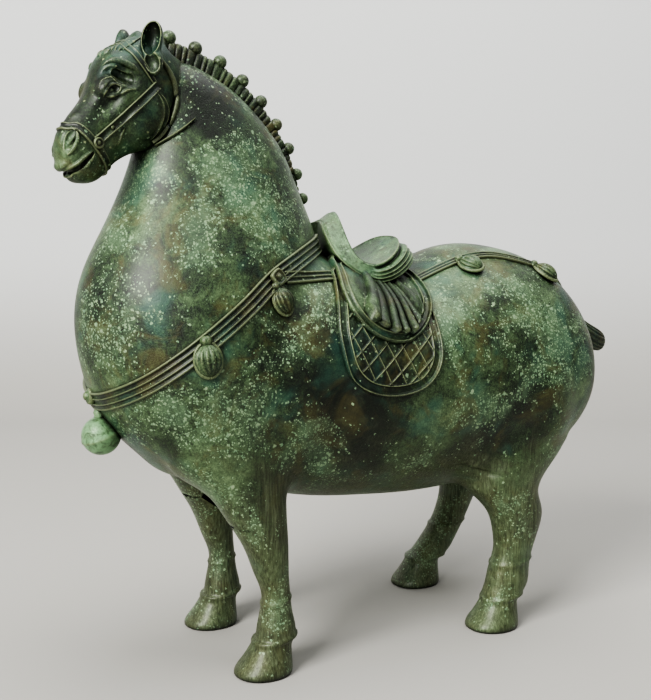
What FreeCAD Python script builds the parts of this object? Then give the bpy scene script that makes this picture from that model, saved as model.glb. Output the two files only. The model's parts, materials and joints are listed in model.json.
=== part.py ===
import FreeCAD
import Part
import functools
import math
import os

# A tall bronze horse in the manner of a court stable figure: barrel-bodied and thick-necked, standing square, with a
# dressed mane, a bridle, a pleated saddle, and a breast collar and a crupper hung with tassels.
#
# It is a lost-wax bronze. The barrel and the neck are cast shells. The head, the legs and the tail are separate
# castings located on pins. The mane, the tack and the tassels are applied castings that sit on the shells.
#
# Millimetres. +Z is up, the horse faces -Y and its near (left) side is +X. The sections below are written about a
# point midway between the hooves; the last step moves everything so that the origin is the middle of the bounding
# box, on the surface that the hooves stand on.

V = FreeCAD.Vector

# ---- driving dimensions -------------------------------------------------------------------------------------------
WALL = 3.0                      # thickness of the cast shells
SECTION_POINTS = 20             # points through which each oval section is drawn
FORE_X, HIND_X = 46.0, 50.0     # half the distance between the fore hooves and between the hind hooves
FORE_HOOF_Y, HIND_HOOF_Y = -78.5, 95.0      # the back of the pastern, above the hoof
NEAR, OFF = 1, -1               # the two sides of the horse, as signs of X

# Barrel: y, top z, bottom z, half width, z of the widest line
BARREL = [
    (-152, 214, 158, 36, 182), (-135, 238, 138, 53, 182), (-105, 258, 119, 66, 182), (-65, 266, 105, 73, 181),
    (-25, 260, 97, 76, 180), (10, 246, 94, 77, 178), (35, 250, 93, 78, 178), (65, 263, 94, 78, 178),
    (105, 266, 98, 78, 178), (134, 259, 104, 75.5, 177), (155, 246, 115, 69, 177), (169, 230, 128, 57, 176),
    (178, 211, 143, 41, 176), (182.5, 193, 159, 22, 176),
]
# Neck: z, front y, back y, half width, y of the widest line
NECK = [
    (122, -126, -70, 34, -100), (132, -145, -56, 50, -104), (148, -161, -44, 60, -110), (172, -176.5, -32, 68, -112),
    (200, -184, -26, 70, -112), (228, -185.5, -24, 67, -112), (252, -180, -26, 60, -112), (275, -169, -31, 51, -108),
    (298, -158, -40, 42, -104), (318, -150.5, -48, 35, -102), (338, -146, -60, 28, -104), (356, -142, -77, 22, -110),
    (370, -138, -97, 16, -118), (378, -133, -112, 9, -122),
]
# Legs, from the root inside the body down to the pastern: z, y of the middle, half depth (Y), half width (X), x
FORE_LEG = [
    (150, -104, 34, 24, 38), (125, -98, 29, 22, 40), (106, -91, 21, 18.5, 43), (91, -86.5, 16.4, 16, 45),
    (78, -83, 13.2, 13.5, 46), (63, -80, 10.6, 11.2, 46), (52, -77.5, 9, 9.6, 46), (41, -77, 9.6, 10, 46),
    (31, -77, 11.6, 11.8, 46), (23.5, -77.4, 12.4, 12.4, 46),
]
NEAR_HIND_LEG = [
    (150, 112, 46, 24, 44), (125, 104, 38, 22, 46), (104, 97, 29, 20, 48), (91, 100, 23, 18, 49),
    (79, 106, 19.5, 16, 50), (66, 106.5, 16.2, 14, 50), (55, 105, 13.8, 12.6, 50), (45, 102.5, 14, 12.2, 50),
    (34, 100.5, 15.2, 12.6, 50), (25, 97, 14.4, 12.8, 50),
]
OFF_HIND_LEG = [
    (150, 122, 44, 24, 44), (120, 124, 34, 22, 46), (98, 128, 25, 19, 48), (84, 129.5, 19, 16, 49),
    (72, 127.5, 14.6, 14, 50), (61, 123.5, 13, 12.6, 50), (50, 118.5, 12.6, 12, 50), (38, 111, 13.2, 12, 50),
    (29, 104.5, 14.0, 12.4, 50), (24, 99.5, 13.6, 12.6, 50),
]
# Hoof: z, offset of the middle from the back of the pastern, half depth, half width
HOOF = [(0, -7.8, 18.2, 16.6), (2, -7.6, 18.4, 17.0), (8, -5.4, 16.2, 15.6), (16, -2.6, 13.2, 13.0),
        (23, 0.0, 11.4, 11.8)]
PASTERN_SINK, PASTERN_INSET = 4.0, 0.4  # how the leg's lowest section sits inside the top of the hoof
LEG_POWER = 2.15                # squareness of the legs' sections

# Head, in its own frame: distance from the poll along the face, height of the forehead, of the jaw, half width
HEAD = [
    (2, 8, -16, 10), (10, 17, -30, 15), (24, 23.5, -36, 18.5), (38, 26, -38.5, 20), (50, 22.5, -37, 20),
    (60, 18, -31, 17), (70, 16, -24.5, 13.5), (80, 15.4, -21.8, 12), (89, 14, -21.5, 12.5), (96, 10.5, -20, 12.2),
    (101, 5.5, -16.5, 10), (103.5, 1, -12, 6),
]
POLL = V(0, -127, 386)          # where the head's frame starts
HEAD_SLOPE = 45.4               # degrees below the horizon that the face points
HEAD_TURN = 15.0                # degrees that the face is turned to the near side
HEAD_POWER = 2.3                # squareness of the head's sections
HEAD_REACH = 60.0               # more than the head's depth
EYE, EYE_RADIUS = (11.4, 55.4, 12.0), 4.6           # from the middle of the face, along it, and above its axis
NOSTRIL, NOSTRIL_RADIUS = (11.0, 92.0, 7.4), 2.4
MOUTH_START, MOUTH_HEIGHT, MOUTH_WIDTH, MOUTH_DEPTH = 89.0, -6.4, 2.8, 2.5
EAR_ROOT, EAR_TIP = (13, 20, 2), (14, 3.5, 23)
EAR_OUTLINE = [(0.0, 6.0, 4.6), (0.3, 7.4, 4.8), (0.6, 7.0, 4.0), (0.85, 4.4, 2.8), (1.0, 1.2, 1.0)]
EAR_HOLLOW = [(0.18, 2.6, 1.6), (0.4, 5.0, 3.0), (0.62, 4.6, 2.6), (0.86, 1.8, 1.2)]
EAR_SETBACK = 3.2               # how far the hollow lies towards the open face of the ear
FORELOCK = [(6, 12, 5.0, 5.0), (12, 18, 9.0, 6.0), (20, 20.5, 10.0, 6.5), (30, 21.5, 9.0, 6.5), (40, 21, 6.0, 5.5),
            (46, 20, 2.5, 3.5)]
BRIDLE_THICK, BRIDLE_WIDTH = 1.3, 6.0
BROWBAND_AT, NOSEBAND_AT = 27.0, 80.0
CHEEK_TOP, CHEEK_END = (28, -1.5), (79, -3.5)
RING_RADIUS, RING_WIRE = 4.4, 1.1
# The throat cord's centre line in the side view of the head: along the face, height
THROATLATCH = [(21, 6), (21, -8), (25, -18), (33, -23), (45, -26.5), (56, -28.5)]
THROATLATCH_WIDTH, THROATLATCH_THICK = 4.0, 2.2

# The crest of the neck in the side view (y, z), from the poll to the withers: the foot of the mane
CREST = [(-127, 380), (-112, 375.5), (-96, 369), (-82, 359.5), (-70, 348.5), (-60, 336), (-51.5, 322.5),
         (-45.5, 307.5), (-40, 291)]
MANE_RIBS, MANE_BEADS = 30, 9
MANE_HEIGHT, MANE_END_HEIGHT = 10.5, 4.0
MANE_THICK, RIB_THICK, RIB_WIDTH = 5.0, 8.4, 2.6
MANE_ROOT, RIB_ROOT = 5.0, 4.0  # how deep the comb and its ribs reach below the crest
RIB_STAND = 1.2                 # how far the ribs stand above the comb
BEAD_RADIUS = 5.0
BEAD_TAPER, BEAD_FOOT_ANGLE = 0.22, 48
BEAD_START, BEAD_END = 0.005, 0.97     # shares of the crest's length

# The saddle and its cloths. Outlines are in the side view (y, z)
SEAT = [(-28, 270, 14), (-22, 282, 21), (-15, 286.5, 24), (-6, 274, 27), (4, 260, 31), (12, 254.5, 35), (19, 258, 39),
        (25, 268, 41), (29, 271, 41), (32, 266, 37)]      # y, top z, half width
SEAT_FOOT, SEAT_BELLY, SEAT_POWER = 225, 8.0, 2.4   # underside of the arch, its depth and its squareness
SEAT_INNER = 22.0               # the cloths stop this far from the middle, under the seat
QUILT = [(-47, 240), (-49, 205), (-41, 186), (-26, 177), (-8, 174), (12, 179), (22, 194), (20, 214), (13, 240)]
FLAP = [(-40, 262), (-43, 246), (-43, 230), (-36, 222), (-13, 216), (10, 225), (12, 240), (14, 262)]
DRAPE = [(-29, 250), (-6, 250), (2, 236), (11, 223), (3, 214), (-9, 210), (-22, 213), (-34, 223), (-28, 236)]
QUILT_THICK, FLAP_THICK, DRAPE_THICK = 2.0, 4.2, 7.5

# The straps: centre lines in the side view (y, z), and the crupper's in plan (y, x)
COLLAR = [(-205, 153.5), (-181, 172), (-80, 249), (-37, 268)]
COLLAR_BRANCH = [(-84, 247), (-38, 247)]
CRUPPER = [(26, 33), (50, 32), (90, 33), (125, 35), (150, 30), (170, 18), (186, 5)]
STRAP_THICK, COLLAR_WIDTH, BRANCH_WIDTH, CRUPPER_WIDTH = 1.8, 11.0, 7.0, 6.0
CRUPPER_FOOT = 170              # the crupper's prism rises from here

# Tassels on each side: y, z of the knot, direction that the bulb hangs in (y, z), share of full size
CHEST_TASSELS = [(-129, 212, 0.16, -1.0, 1.05), (-82, 243, 0.2, -1.0, 0.95)]
# Tassels on the rump: y, x of the knot, direction that the bulb hangs in (x, y, z), share of full size
RUMP_TASSELS = [(67, 33, (0.75, 0.45, -0.48), 0.85), (128, 36, (0.6, 0.6, -0.55), 0.85)]
CHEST_OUT, RUMP_OUT = (1, 0, 0.2), (0.4, 0.1, 1)    # way out of the surface under the tassels
CHEST_INSIDE, RUMP_INSIDE = 5, 200                  # x and z of points inside the horse behind the knots
KNOT_RADIUS = 3.1
BULB_RADII = (6.4, 9.0, 5.0)    # across, along and out of the surface
BULB_DROP, TASSEL_LIFT = 0.75, 2.0
BOSS = V(0, -178, 173)
BOSS_RADIUS, BOSS_HEIGHT, BOSS_LENGTH = 5.0, 5.0, 12.0
BELL = V(0, -173, 151)
BELL_RADIUS = 12.2

# Tail: y, z of the middle, half height, half width; the stub of a bound tail
TAIL = [(172, 208, 9, 10), (186, 206, 10, 10.5), (200, 201, 10, 9.5), (212, 195, 9.5, 8), (222, 191, 8.5, 6.5),
        (227, 190, 6, 4.5), (229, 190, 3, 2.5)]

# Locating pins and the core hole
PIN_RADIUS, PIN_CLEARANCE = 3.0, 0.05
LEG_PINS = [(FORE_X - 3, -93, NEAR), (FORE_X - 3, -93, OFF), (HIND_X - 3, 103, NEAR), (HIND_X - 3, 125, OFF)]
LEG_PIN_FOOT, LEG_PIN_TOP = 88, 140
HEAD_PIN = (V(0, -118, 352), V(5, -160, 336))
TAIL_PIN = (V(0, 168, 206), V(0, 200, 201))
CORE_HOLE = V(0, 30, 80)
CORE_RADIUS, CORE_LENGTH = 14.0, 30.0
REACH = 120.0                   # deeper than half the horse's width


# ---- curves and lofts ---------------------------------------------------------------------------------------------
def oval(half_width, up, down, power=2.0):
    """Points (across, up) of an oval with its own height above and below its widest line."""
    points = []
    for i in range(SECTION_POINTS):
        angle = 2 * math.pi * (i + 0.5) / SECTION_POINTS
        c, s = math.cos(angle), math.sin(angle)
        u = half_width * math.copysign(abs(c) ** (2 / power), c)
        v = (up if s > 0 else down) * math.copysign(abs(s) ** (2 / power), s)
        points.append((u, v))
    return points


def closed_wire(points):
    """A smooth closed wire through the points, evenly parametrised so that the sections of a loft agree."""
    curve = Part.BSplineCurve()
    curve.interpolate(Points=points, PeriodicFlag=True, Parameters=range(len(points) + 1))
    return Part.Wire(curve.toShape())


def open_curve(points):
    curve = Part.BSplineCurve()
    curve.interpolate(Points=points)
    return curve


def loft(wires):
    """A solid through closed wires, with flat ends."""
    solid = Part.makeLoft(wires, True, False, False, 3)
    if solid.Volume < 0:
        solid.reverse()
    return solid


def inset_rows(rows, grow):
    """Leaves the end sections out of a shrunken copy, so that a cavity stays inside its shell."""
    return rows[1:-1] if grow < 0 else rows


@functools.cache
def barrel(grow=0.0):
    """The barrel's solid, every section grown or shrunk by a thickness."""
    wires = []
    for y, top, bottom, half, wide in inset_rows(BARREL, grow):
        section = oval(half + grow, top - wide + grow, wide - bottom + grow)
        wires.append(closed_wire([V(u, y, wide + v) for u, v in section]))
    return loft(wires)


@functools.cache
def neck(grow=0.0):
    """The neck's solid, every section grown or shrunk by a thickness."""
    wires = []
    for z, front, back, half, wide in inset_rows(NECK, grow):
        section = oval(half + grow, back - wide + grow, wide - front + grow)
        wires.append(closed_wire([V(u, wide + v, z) for u, v in section]))
    return loft(wires)


def side_slab(wire, side):
    """A prism from an outline in the side view out through one side of the horse."""
    return Part.Face(wire).extrude(V(side * REACH, 0, 0))


def band_wire(centre_line, width, place):
    """Outline of a strap of even width along a bent centre line; place turns each (a, b) into a point."""
    left, right = [], []
    for i, (a, b) in enumerate(centre_line):
        before, after = centre_line[max(i - 1, 0)], centre_line[min(i + 1, len(centre_line) - 1)]
        da, db = after[0] - before[0], after[1] - before[1]
        length = math.hypot(da, db)
        step_a, step_b = -db / length * width / 2, da / length * width / 2
        left.append(place(a + step_a, b + step_b))
        right.append(place(a - step_a, b - step_b))
    outline = left + right[::-1]
    return Part.makePolygon(outline + outline[:1])


def side_point(y, z):
    return V(0, y, z)


def trimmed(shape, others):
    """What is left of a shape outside the others, without stray slivers."""
    for other in others:
        shape = shape.cut(other)
    return max(shape.Solids, key=lambda solid: solid.Volume)


# ---- limbs and tail -----------------------------------------------------------------------------------------------
def upright(rows, side):
    """A solid through level oval sections: z, y, half depth, half width, x."""
    wires = []
    for z, y, deep, half, x in rows:
        wires.append(closed_wire([V(side * x + u, y + v, z) for u, v in oval(half, deep, deep, LEG_POWER)]))
    return loft(wires)


def leg(rows, side, hoof_x, hoof_y):
    """One leg casting with its hoof; the pastern runs down into the hoof."""
    hoof = upright([(z, hoof_y + shift, deep, half, hoof_x) for z, shift, deep, half in HOOF], side)
    top_z, shift, deep, half = HOOF[-1]
    pastern = (top_z - PASTERN_SINK, hoof_y + shift, deep - PASTERN_INSET, half - PASTERN_INSET, hoof_x)
    limb = upright([pastern] + rows[::-1], side)
    return limb.fuse(hoof)


def tail():
    wires = []
    for y, z, high, half in TAIL:
        wires.append(closed_wire([V(u, y, z + v) for u, v in oval(half, high, high)]))
    return loft(wires)


def pin(start, end, radius=PIN_RADIUS):
    return Part.makeCylinder(radius, (end - start).Length, start, end - start)


def leg_pin(x, y, side, radius=PIN_RADIUS):
    return pin(V(side * x, y, LEG_PIN_FOOT), V(side * x, y, LEG_PIN_TOP), radius)


# ---- head and bridle, made in the head's own frame ------------------------------------------------------------------
def placed_head(shape):
    """Carries a shape from the head's frame (y along the face, z to the forehead) to the horse."""
    shape = shape.copy()
    shape.rotate(V(0, 0, 0), V(0, 0, 1), 180)
    shape.rotate(V(0, 0, 0), V(1, 0, 0), HEAD_SLOPE)
    shape.rotate(V(0, 0, 0), V(0, 0, 1), HEAD_TURN)
    shape.translate(POLL)
    return shape


def head_section(row, grow=0.0):
    along, top, bottom, half = row
    middle, up = (top + bottom) / 2, (top - bottom) / 2
    section = oval(half + grow, up + grow, up + grow, HEAD_POWER)
    return closed_wire([V(u, along, middle + v) for u, v in section])


@functools.cache
def head_solid(grow=0.0):
    return loft([head_section(row, grow) for row in HEAD])


def head_casting():
    """The head with its eyes, nostrils and mouth."""
    head = head_solid()
    for side in (NEAR, OFF):
        head = head.fuse(Part.makeSphere(EYE_RADIUS, V(-side * EYE[0], *EYE[1:])))
        head = head.cut(Part.makeSphere(NOSTRIL_RADIUS, V(-side * NOSTRIL[0], *NOSTRIL[1:])))
    mouth = Part.makeBox(2 * REACH, REACH, MOUTH_WIDTH, V(-REACH, MOUTH_START, MOUTH_HEIGHT))
    core = head_solid(-MOUTH_DEPTH).translated(V(0, -MOUTH_DEPTH, 0))
    return head.cut(mouth.cut(core))


def ear_loft(outline, side, setback):
    """A leaf-shaped solid along the ear; setback moves it towards the ear's open face."""
    root = V(-side * EAR_ROOT[0], *EAR_ROOT[1:])
    tip = V(-side * EAR_TIP[0], *EAR_TIP[1:])
    across = V(1, 0, 0)
    face = (tip - root).cross(across).normalize()
    wires = []
    for share, wide, deep in outline:
        centre = root + (tip - root) * share - face * setback
        wires.append(closed_wire([centre + across * u + face * v for u, v in oval(wide, deep, deep)]))
    return loft(wires)


def ear(side):
    return ear_loft(EAR_OUTLINE, side, 0.0).cut(ear_loft(EAR_HOLLOW, side, EAR_SETBACK))


def forelock():
    """The tuft that sweeps up the forehead to a rounded end between the ears."""
    wires = []
    for along, high, half, deep in FORELOCK:
        wires.append(closed_wire([V(u, along, high + v) for u, v in oval(half, deep, deep)]))
    return loft(wires)


def head_ring(along, low, high, width=BRIDLE_WIDTH):
    """A strap square to the face around the head, between two heights."""
    slab = Part.makeBox(2 * REACH, width, high - low, V(-REACH, along - width / 2, low))
    return slab.common(head_solid(BRIDLE_THICK))


def cheek_strap(side):
    """The strap from the browband down the cheek to the noseband."""
    rise, run = CHEEK_END[1] - CHEEK_TOP[1], CHEEK_END[0] - CHEEK_TOP[0]
    slab = Part.makeBox(REACH, math.hypot(rise, run), BRIDLE_WIDTH, V(0, 0, -BRIDLE_WIDTH / 2))
    slab.rotate(V(0, 0, 0), V(1, 0, 0), math.degrees(math.atan2(rise, run)))
    slab.translate(V(-REACH if side > 0 else 0, *CHEEK_TOP))
    return slab.common(head_solid(BRIDLE_THICK))


def bit_ring(side):
    """The ring that joins the cheek strap to the noseband; it lies flat against the cheek."""
    half = next(row[3] for row in HEAD if row[0] >= CHEEK_END[0])
    centre = V(-side * (half + BRIDLE_THICK + RING_WIRE), CHEEK_END[0], CHEEK_END[1] - RING_RADIUS)
    return Part.makeTorus(RING_RADIUS, RING_WIRE, centre, V(1, 0, 0))


def throatlatch(side):
    """The cord that runs from behind the ear round the back of the jaw to the throat."""
    wire = band_wire(THROATLATCH, THROATLATCH_WIDTH, side_point)
    prism = placed_head(Part.Face(wire).extrude(V(-side * REACH, 0, 0)))
    on_head = prism.common(placed_head(head_solid(THROATLATCH_THICK)))
    return on_head.fuse(prism.common(neck(THROATLATCH_THICK)))


# ---- mane ---------------------------------------------------------------------------------------------------------
CREST_CURVE = open_curve([V(0, y, z) for y, z in CREST])


def on_crest(share):
    """Point, outward normal and mane height at a share of the crest's length."""
    parameter = CREST_CURVE.parameterAtDistance(share * CREST_CURVE.length())
    point = CREST_CURVE.value(parameter)
    tangent = CREST_CURVE.tangent(parameter)[0]
    height = MANE_HEIGHT + (MANE_END_HEIGHT - MANE_HEIGHT) * share ** 1.5
    return point, V(0, -tangent.z, tangent.y), height


def mane():
    """The clipped mane: a thin comb along the crest with a rib for each lock."""
    inner, outer = [], []
    steps = len(CREST) * 2
    for i in range(steps + 1):
        point, normal, height = on_crest(i / steps)
        inner.append(point - normal * MANE_ROOT)
        outer.append(point + normal * (height - RIB_STAND))
    sides = [open_curve(inner), Part.LineSegment(inner[-1], outer[-1]), open_curve(outer),
             Part.LineSegment(outer[0], inner[0])]
    comb = Part.Face(Part.Wire([side.toShape() for side in sides])).extrude(V(MANE_THICK, 0, 0))
    comb.translate(V(-MANE_THICK / 2, 0, 0))
    ribs = []
    for i in range(MANE_RIBS):
        point, normal, height = on_crest((i + 0.5) / MANE_RIBS)
        corner = V(-RIB_THICK / 2, -RIB_WIDTH / 2, -RIB_ROOT)
        rib = Part.makeBox(RIB_THICK, RIB_WIDTH, height + RIB_ROOT, corner)
        rib.rotate(V(0, 0, 0), V(1, 0, 0), math.degrees(math.atan2(-normal.y, normal.z)))
        rib.translate(point)
        ribs.append(rib)
    return comb.multiFuse(ribs)


def mane_bead(index):
    """A bead with a flat foot that stands on the mane."""
    share = BEAD_START + (BEAD_END - BEAD_START) * index / (MANE_BEADS - 1)
    point, normal, height = on_crest(share)
    radius = BEAD_RADIUS * (1 - BEAD_TAPER * share)
    lift = height + radius * math.sin(math.radians(BEAD_FOOT_ANGLE))
    return Part.makeSphere(radius, point + normal * lift, normal, -BEAD_FOOT_ANGLE, 90, 360)


# ---- tack on the body ---------------------------------------------------------------------------------------------
def applied(prism, thick, under=()):
    """The layer of one thickness that lies on the barrel and the neck inside a prism, less what is under it."""
    layer = prism.common(barrel(thick)).fuse(prism.common(neck(thick)))
    return trimmed(layer, [BARREL_SOLID, NECK_SOLID, *under])


def saddle_seat():
    """Pommel, seat and cantle as one arch that runs over the back."""
    wires = []
    for y, top, half in SEAT:
        points = [V(u, y, SEAT_FOOT + v) for u, v in oval(half, top - SEAT_FOOT, SEAT_BELLY, SEAT_POWER)]
        wires.append(closed_wire(points))
    return loft(wires)


def crupper_strap(side):
    wire = band_wire(CRUPPER, CRUPPER_WIDTH, lambda y, x: V(side * x, y, CRUPPER_FOOT))
    return Part.Face(wire).extrude(V(0, 0, REACH))


def skin_point(start, end):
    """Where a line from inside the horse leaves its surface."""
    line = Part.makeLine(start, end)
    ends = []
    for solid in (BARREL_SOLID, NECK_SOLID):
        ends += [vertex.Point for vertex in line.common(solid).Vertexes]
    return max(ends, key=lambda point: (point - start).Length)


def tassel(knot, hang, outward, size):
    """A knot with a bulb hanging from it, flattened against the surface."""
    across = hang.cross(outward).normalize()
    outward = across.cross(hang).normalize()
    a, b, c = [radius * size for radius in BULB_RADII]
    centre = knot + hang * (KNOT_RADIUS + BULB_DROP * b) * size + outward * TASSEL_LIFT
    shaped = FreeCAD.Matrix(
        across.x * a, hang.x * b, outward.x * c, centre.x,
        across.y * a, hang.y * b, outward.y * c, centre.y,
        across.z * a, hang.z * b, outward.z * c, centre.z,
        0, 0, 0, 1)
    bulb = Part.makeSphere(1.0).transformGeometry(shaped)
    return Part.makeSphere(KNOT_RADIUS * size, knot + outward * TASSEL_LIFT).fuse(bulb)


def chest_tassel(side, row):
    y, z, hang_y, hang_z, size = row
    knot = skin_point(V(side * CHEST_INSIDE, y, z), V(side * REACH, y, z))
    return tassel(knot, V(0, hang_y, hang_z).normalize(), V(side * CHEST_OUT[0], *CHEST_OUT[1:]), size)


def rump_tassel(side, row):
    y, x, hang, size = row
    knot = skin_point(V(side * x, y, RUMP_INSIDE), V(side * x, y, RUMP_INSIDE + REACH))
    return tassel(knot, V(side * hang[0], *hang[1:]).normalize(), V(side * RUMP_OUT[0], *RUMP_OUT[1:]), size)


# ---- the assembly -------------------------------------------------------------------------------------------------
BARREL_SOLID = barrel()
NECK_SOLID = neck()
SIDES = (("near", NEAR), ("off", OFF))


def add_castings(nodes):
    """The shells, head, legs and tail, drilled for the pins."""
    wide = PIN_RADIUS + PIN_CLEARANCE
    leg_bores = [leg_pin(*place, wide) for place in LEG_PINS]
    core_bore = Part.makeCylinder(CORE_RADIUS, CORE_LENGTH, CORE_HOLE)
    tail_bore, head_bore = pin(*TAIL_PIN, wide), pin(*HEAD_PIN, wide)
    body_wall = BARREL_SOLID.cut(barrel(-WALL))
    neck_wall = NECK_SOLID.cut(neck(-WALL))
    nodes["body_shell"] = trimmed(body_wall, leg_bores + [core_bore, tail_bore])
    nodes["neck_shell"] = trimmed(neck_wall, [BARREL_SOLID, head_bore] + leg_bores)
    plug = Part.makeCylinder(CORE_RADIUS - PIN_CLEARANCE, CORE_LENGTH, CORE_HOLE)
    nodes["belly_plug"] = max(plug.common(body_wall).Solids, key=lambda solid: solid.Volume)
    nodes["head"] = trimmed(placed_head(head_casting()), [NECK_SOLID, head_bore])
    legs = {
        "near_fore_leg": leg(FORE_LEG, NEAR, FORE_X, FORE_HOOF_Y),
        "off_fore_leg": leg(FORE_LEG, OFF, FORE_X, FORE_HOOF_Y),
        "near_hind_leg": leg(NEAR_HIND_LEG, NEAR, HIND_X, HIND_HOOF_Y),
        "off_hind_leg": leg(OFF_HIND_LEG, OFF, HIND_X, HIND_HOOF_Y),
    }
    for name, limb in legs.items():
        nodes[name] = trimmed(limb, [BARREL_SOLID, NECK_SOLID] + leg_bores)
    nodes["tail"] = trimmed(tail(), [BARREL_SOLID, tail_bore])
    nodes["leg_pins"] = Part.makeCompound([leg_pin(*place) for place in LEG_PINS])
    nodes["head_pin"] = pin(*HEAD_PIN)
    nodes["tail_pin"] = pin(*TAIL_PIN)


def add_head_tack(nodes):
    """Ears, forelock and bridle, each trimmed by what it sits on."""
    skull = [nodes["head"], placed_head(head_solid()), NECK_SOLID]
    for name, side in SIDES:
        nodes[name + "_ear"] = trimmed(placed_head(ear(side)), skull)
    ears = [nodes["near_ear"], nodes["off_ear"]]
    nodes["browband"] = trimmed(placed_head(head_ring(BROWBAND_AT, 0, HEAD_REACH)), skull + ears)
    nodes["forelock"] = trimmed(placed_head(forelock()), skull + ears + [nodes["browband"]])
    nodes["noseband"] = trimmed(placed_head(head_ring(NOSEBAND_AT, -HEAD_REACH, HEAD_REACH)), skull)
    bands = [nodes["browband"], nodes["noseband"]]
    for name, side in SIDES:
        nodes[name + "_throatlatch"] = trimmed(throatlatch(side), skull + ears + bands)
        nodes[name + "_cheek_strap"] = trimmed(placed_head(cheek_strap(side)), skull + bands)
        nodes[name + "_bit_ring"] = trimmed(placed_head(bit_ring(side)), skull + bands)


def add_mane(nodes):
    nodes["mane"] = trimmed(mane(), [NECK_SOLID, BARREL_SOLID, nodes["head"]])
    for i in range(MANE_BEADS):
        nodes["mane_bead_%d" % (i + 1)] = mane_bead(i)


def add_saddle(nodes):
    """Quilted cloth, flap and pleated drape on each side, under the seat."""
    cloths = []
    for name, side in SIDES:
        layers = [("_quilted_cloth", QUILT, QUILT_THICK), ("_saddle_flap", FLAP, FLAP_THICK),
                  ("_saddle_drape", DRAPE, DRAPE_THICK)]
        below = []
        for suffix, outline, thick in layers:
            prism = side_slab(closed_wire([V(side * SEAT_INNER, y, z) for y, z in outline]), side)
            nodes[name + suffix] = applied(prism, thick, below)
            below.append(nodes[name + suffix])
        cloths += below
    nodes["saddle_seat"] = trimmed(saddle_seat(), [BARREL_SOLID, NECK_SOLID] + cloths)


def add_straps(nodes):
    """Breast collar, its level branches, the crupper and their tassels."""
    for name, side in SIDES:
        saddle = [nodes["saddle_seat"], nodes[name + "_saddle_flap"], nodes[name + "_quilted_cloth"]]
        collar = side_slab(band_wire(COLLAR, COLLAR_WIDTH, side_point), side)
        nodes[name + "_breast_collar"] = applied(collar, STRAP_THICK, saddle)
        branch = side_slab(band_wire(COLLAR_BRANCH, BRANCH_WIDTH, side_point), side)
        nodes[name + "_collar_branch"] = applied(branch, STRAP_THICK, saddle + [nodes[name + "_breast_collar"]])
        nodes[name + "_crupper"] = applied(crupper_strap(side), STRAP_THICK, saddle + [nodes["tail"]])
        straps = [nodes[name + suffix] for suffix in ("_breast_collar", "_collar_branch", "_crupper")]
        under = straps + [BARREL_SOLID, NECK_SOLID] + saddle
        for i, row in enumerate(CHEST_TASSELS):
            nodes["%s_chest_tassel_%d" % (name, i + 1)] = trimmed(chest_tassel(side, row), under)
        for i, row in enumerate(RUMP_TASSELS):
            nodes["%s_rump_tassel_%d" % (name, i + 1)] = trimmed(rump_tassel(side, row), under)
    collars = [nodes["near_breast_collar"], nodes["off_breast_collar"]]
    boss = Part.makeCylinder(BOSS_RADIUS, 12, BOSS + V(0, 12 - BOSS_HEIGHT, 0), V(0, -1, 0))
    nodes["chest_boss"] = trimmed(boss, collars + [NECK_SOLID])
    nodes["chest_bell"] = trimmed(Part.makeSphere(BELL_RADIUS, BELL), collars + [NECK_SOLID, nodes["chest_boss"]])


def build():
    nodes = {}
    add_castings(nodes)
    add_head_tack(nodes)
    add_mane(nodes)
    add_saddle(nodes)
    add_straps(nodes)
    whole = Part.makeCompound(list(nodes.values())).optimalBoundingBox(True, False)
    to_origin = V(-(whole.XMin + whole.XMax) / 2, -(whole.YMin + whole.YMax) / 2, -whole.ZMin)
    os.makedirs("parts", exist_ok=True)
    for name, shape in nodes.items():
        shape.translate(to_origin)
        shape.exportStep("parts/%s.step" % name)
    print("moved by", to_origin, "size", whole.XLength, whole.YLength, whole.ZLength, "nodes", len(nodes))


build()
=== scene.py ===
import copy
import json
import math

import bmesh
import bpy
import numpy as np
import openvdb as vdb
from mathutils import Matrix, Vector


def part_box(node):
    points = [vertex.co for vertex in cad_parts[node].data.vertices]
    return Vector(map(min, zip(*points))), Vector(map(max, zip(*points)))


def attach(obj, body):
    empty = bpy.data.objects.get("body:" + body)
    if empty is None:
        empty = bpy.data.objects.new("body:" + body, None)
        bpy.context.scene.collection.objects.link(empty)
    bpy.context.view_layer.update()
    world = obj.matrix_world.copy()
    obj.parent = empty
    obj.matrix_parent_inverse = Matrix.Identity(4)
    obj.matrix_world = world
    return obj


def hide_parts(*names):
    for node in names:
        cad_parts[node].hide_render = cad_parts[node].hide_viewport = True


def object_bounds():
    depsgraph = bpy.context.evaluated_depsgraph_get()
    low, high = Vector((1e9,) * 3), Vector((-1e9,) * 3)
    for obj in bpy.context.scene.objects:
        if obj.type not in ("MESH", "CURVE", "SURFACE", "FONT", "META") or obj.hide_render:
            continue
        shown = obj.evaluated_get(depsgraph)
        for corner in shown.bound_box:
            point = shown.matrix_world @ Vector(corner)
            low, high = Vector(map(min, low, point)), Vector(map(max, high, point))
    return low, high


# The looks of a patinated bronze horse. Shapes are worked out in millimetres in the row's frame, where the
# horse
# faces -Y and its near side is +X, and become metres when a mesh is made.

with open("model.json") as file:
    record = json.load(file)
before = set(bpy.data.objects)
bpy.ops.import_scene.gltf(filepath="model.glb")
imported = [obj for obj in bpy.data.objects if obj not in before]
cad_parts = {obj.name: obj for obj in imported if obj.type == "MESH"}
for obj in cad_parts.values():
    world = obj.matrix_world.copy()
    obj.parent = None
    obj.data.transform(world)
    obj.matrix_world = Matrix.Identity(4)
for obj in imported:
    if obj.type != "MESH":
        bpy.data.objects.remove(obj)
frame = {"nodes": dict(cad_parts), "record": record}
CAD_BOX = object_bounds()
NODES = frame["nodes"]
MM = 0.001
NEAR, OFF = 1, -1
SIDES = (("near", NEAR), ("off", OFF))


# ---- fields: signed distances sampled on regular grids -------------------------------------------


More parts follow.
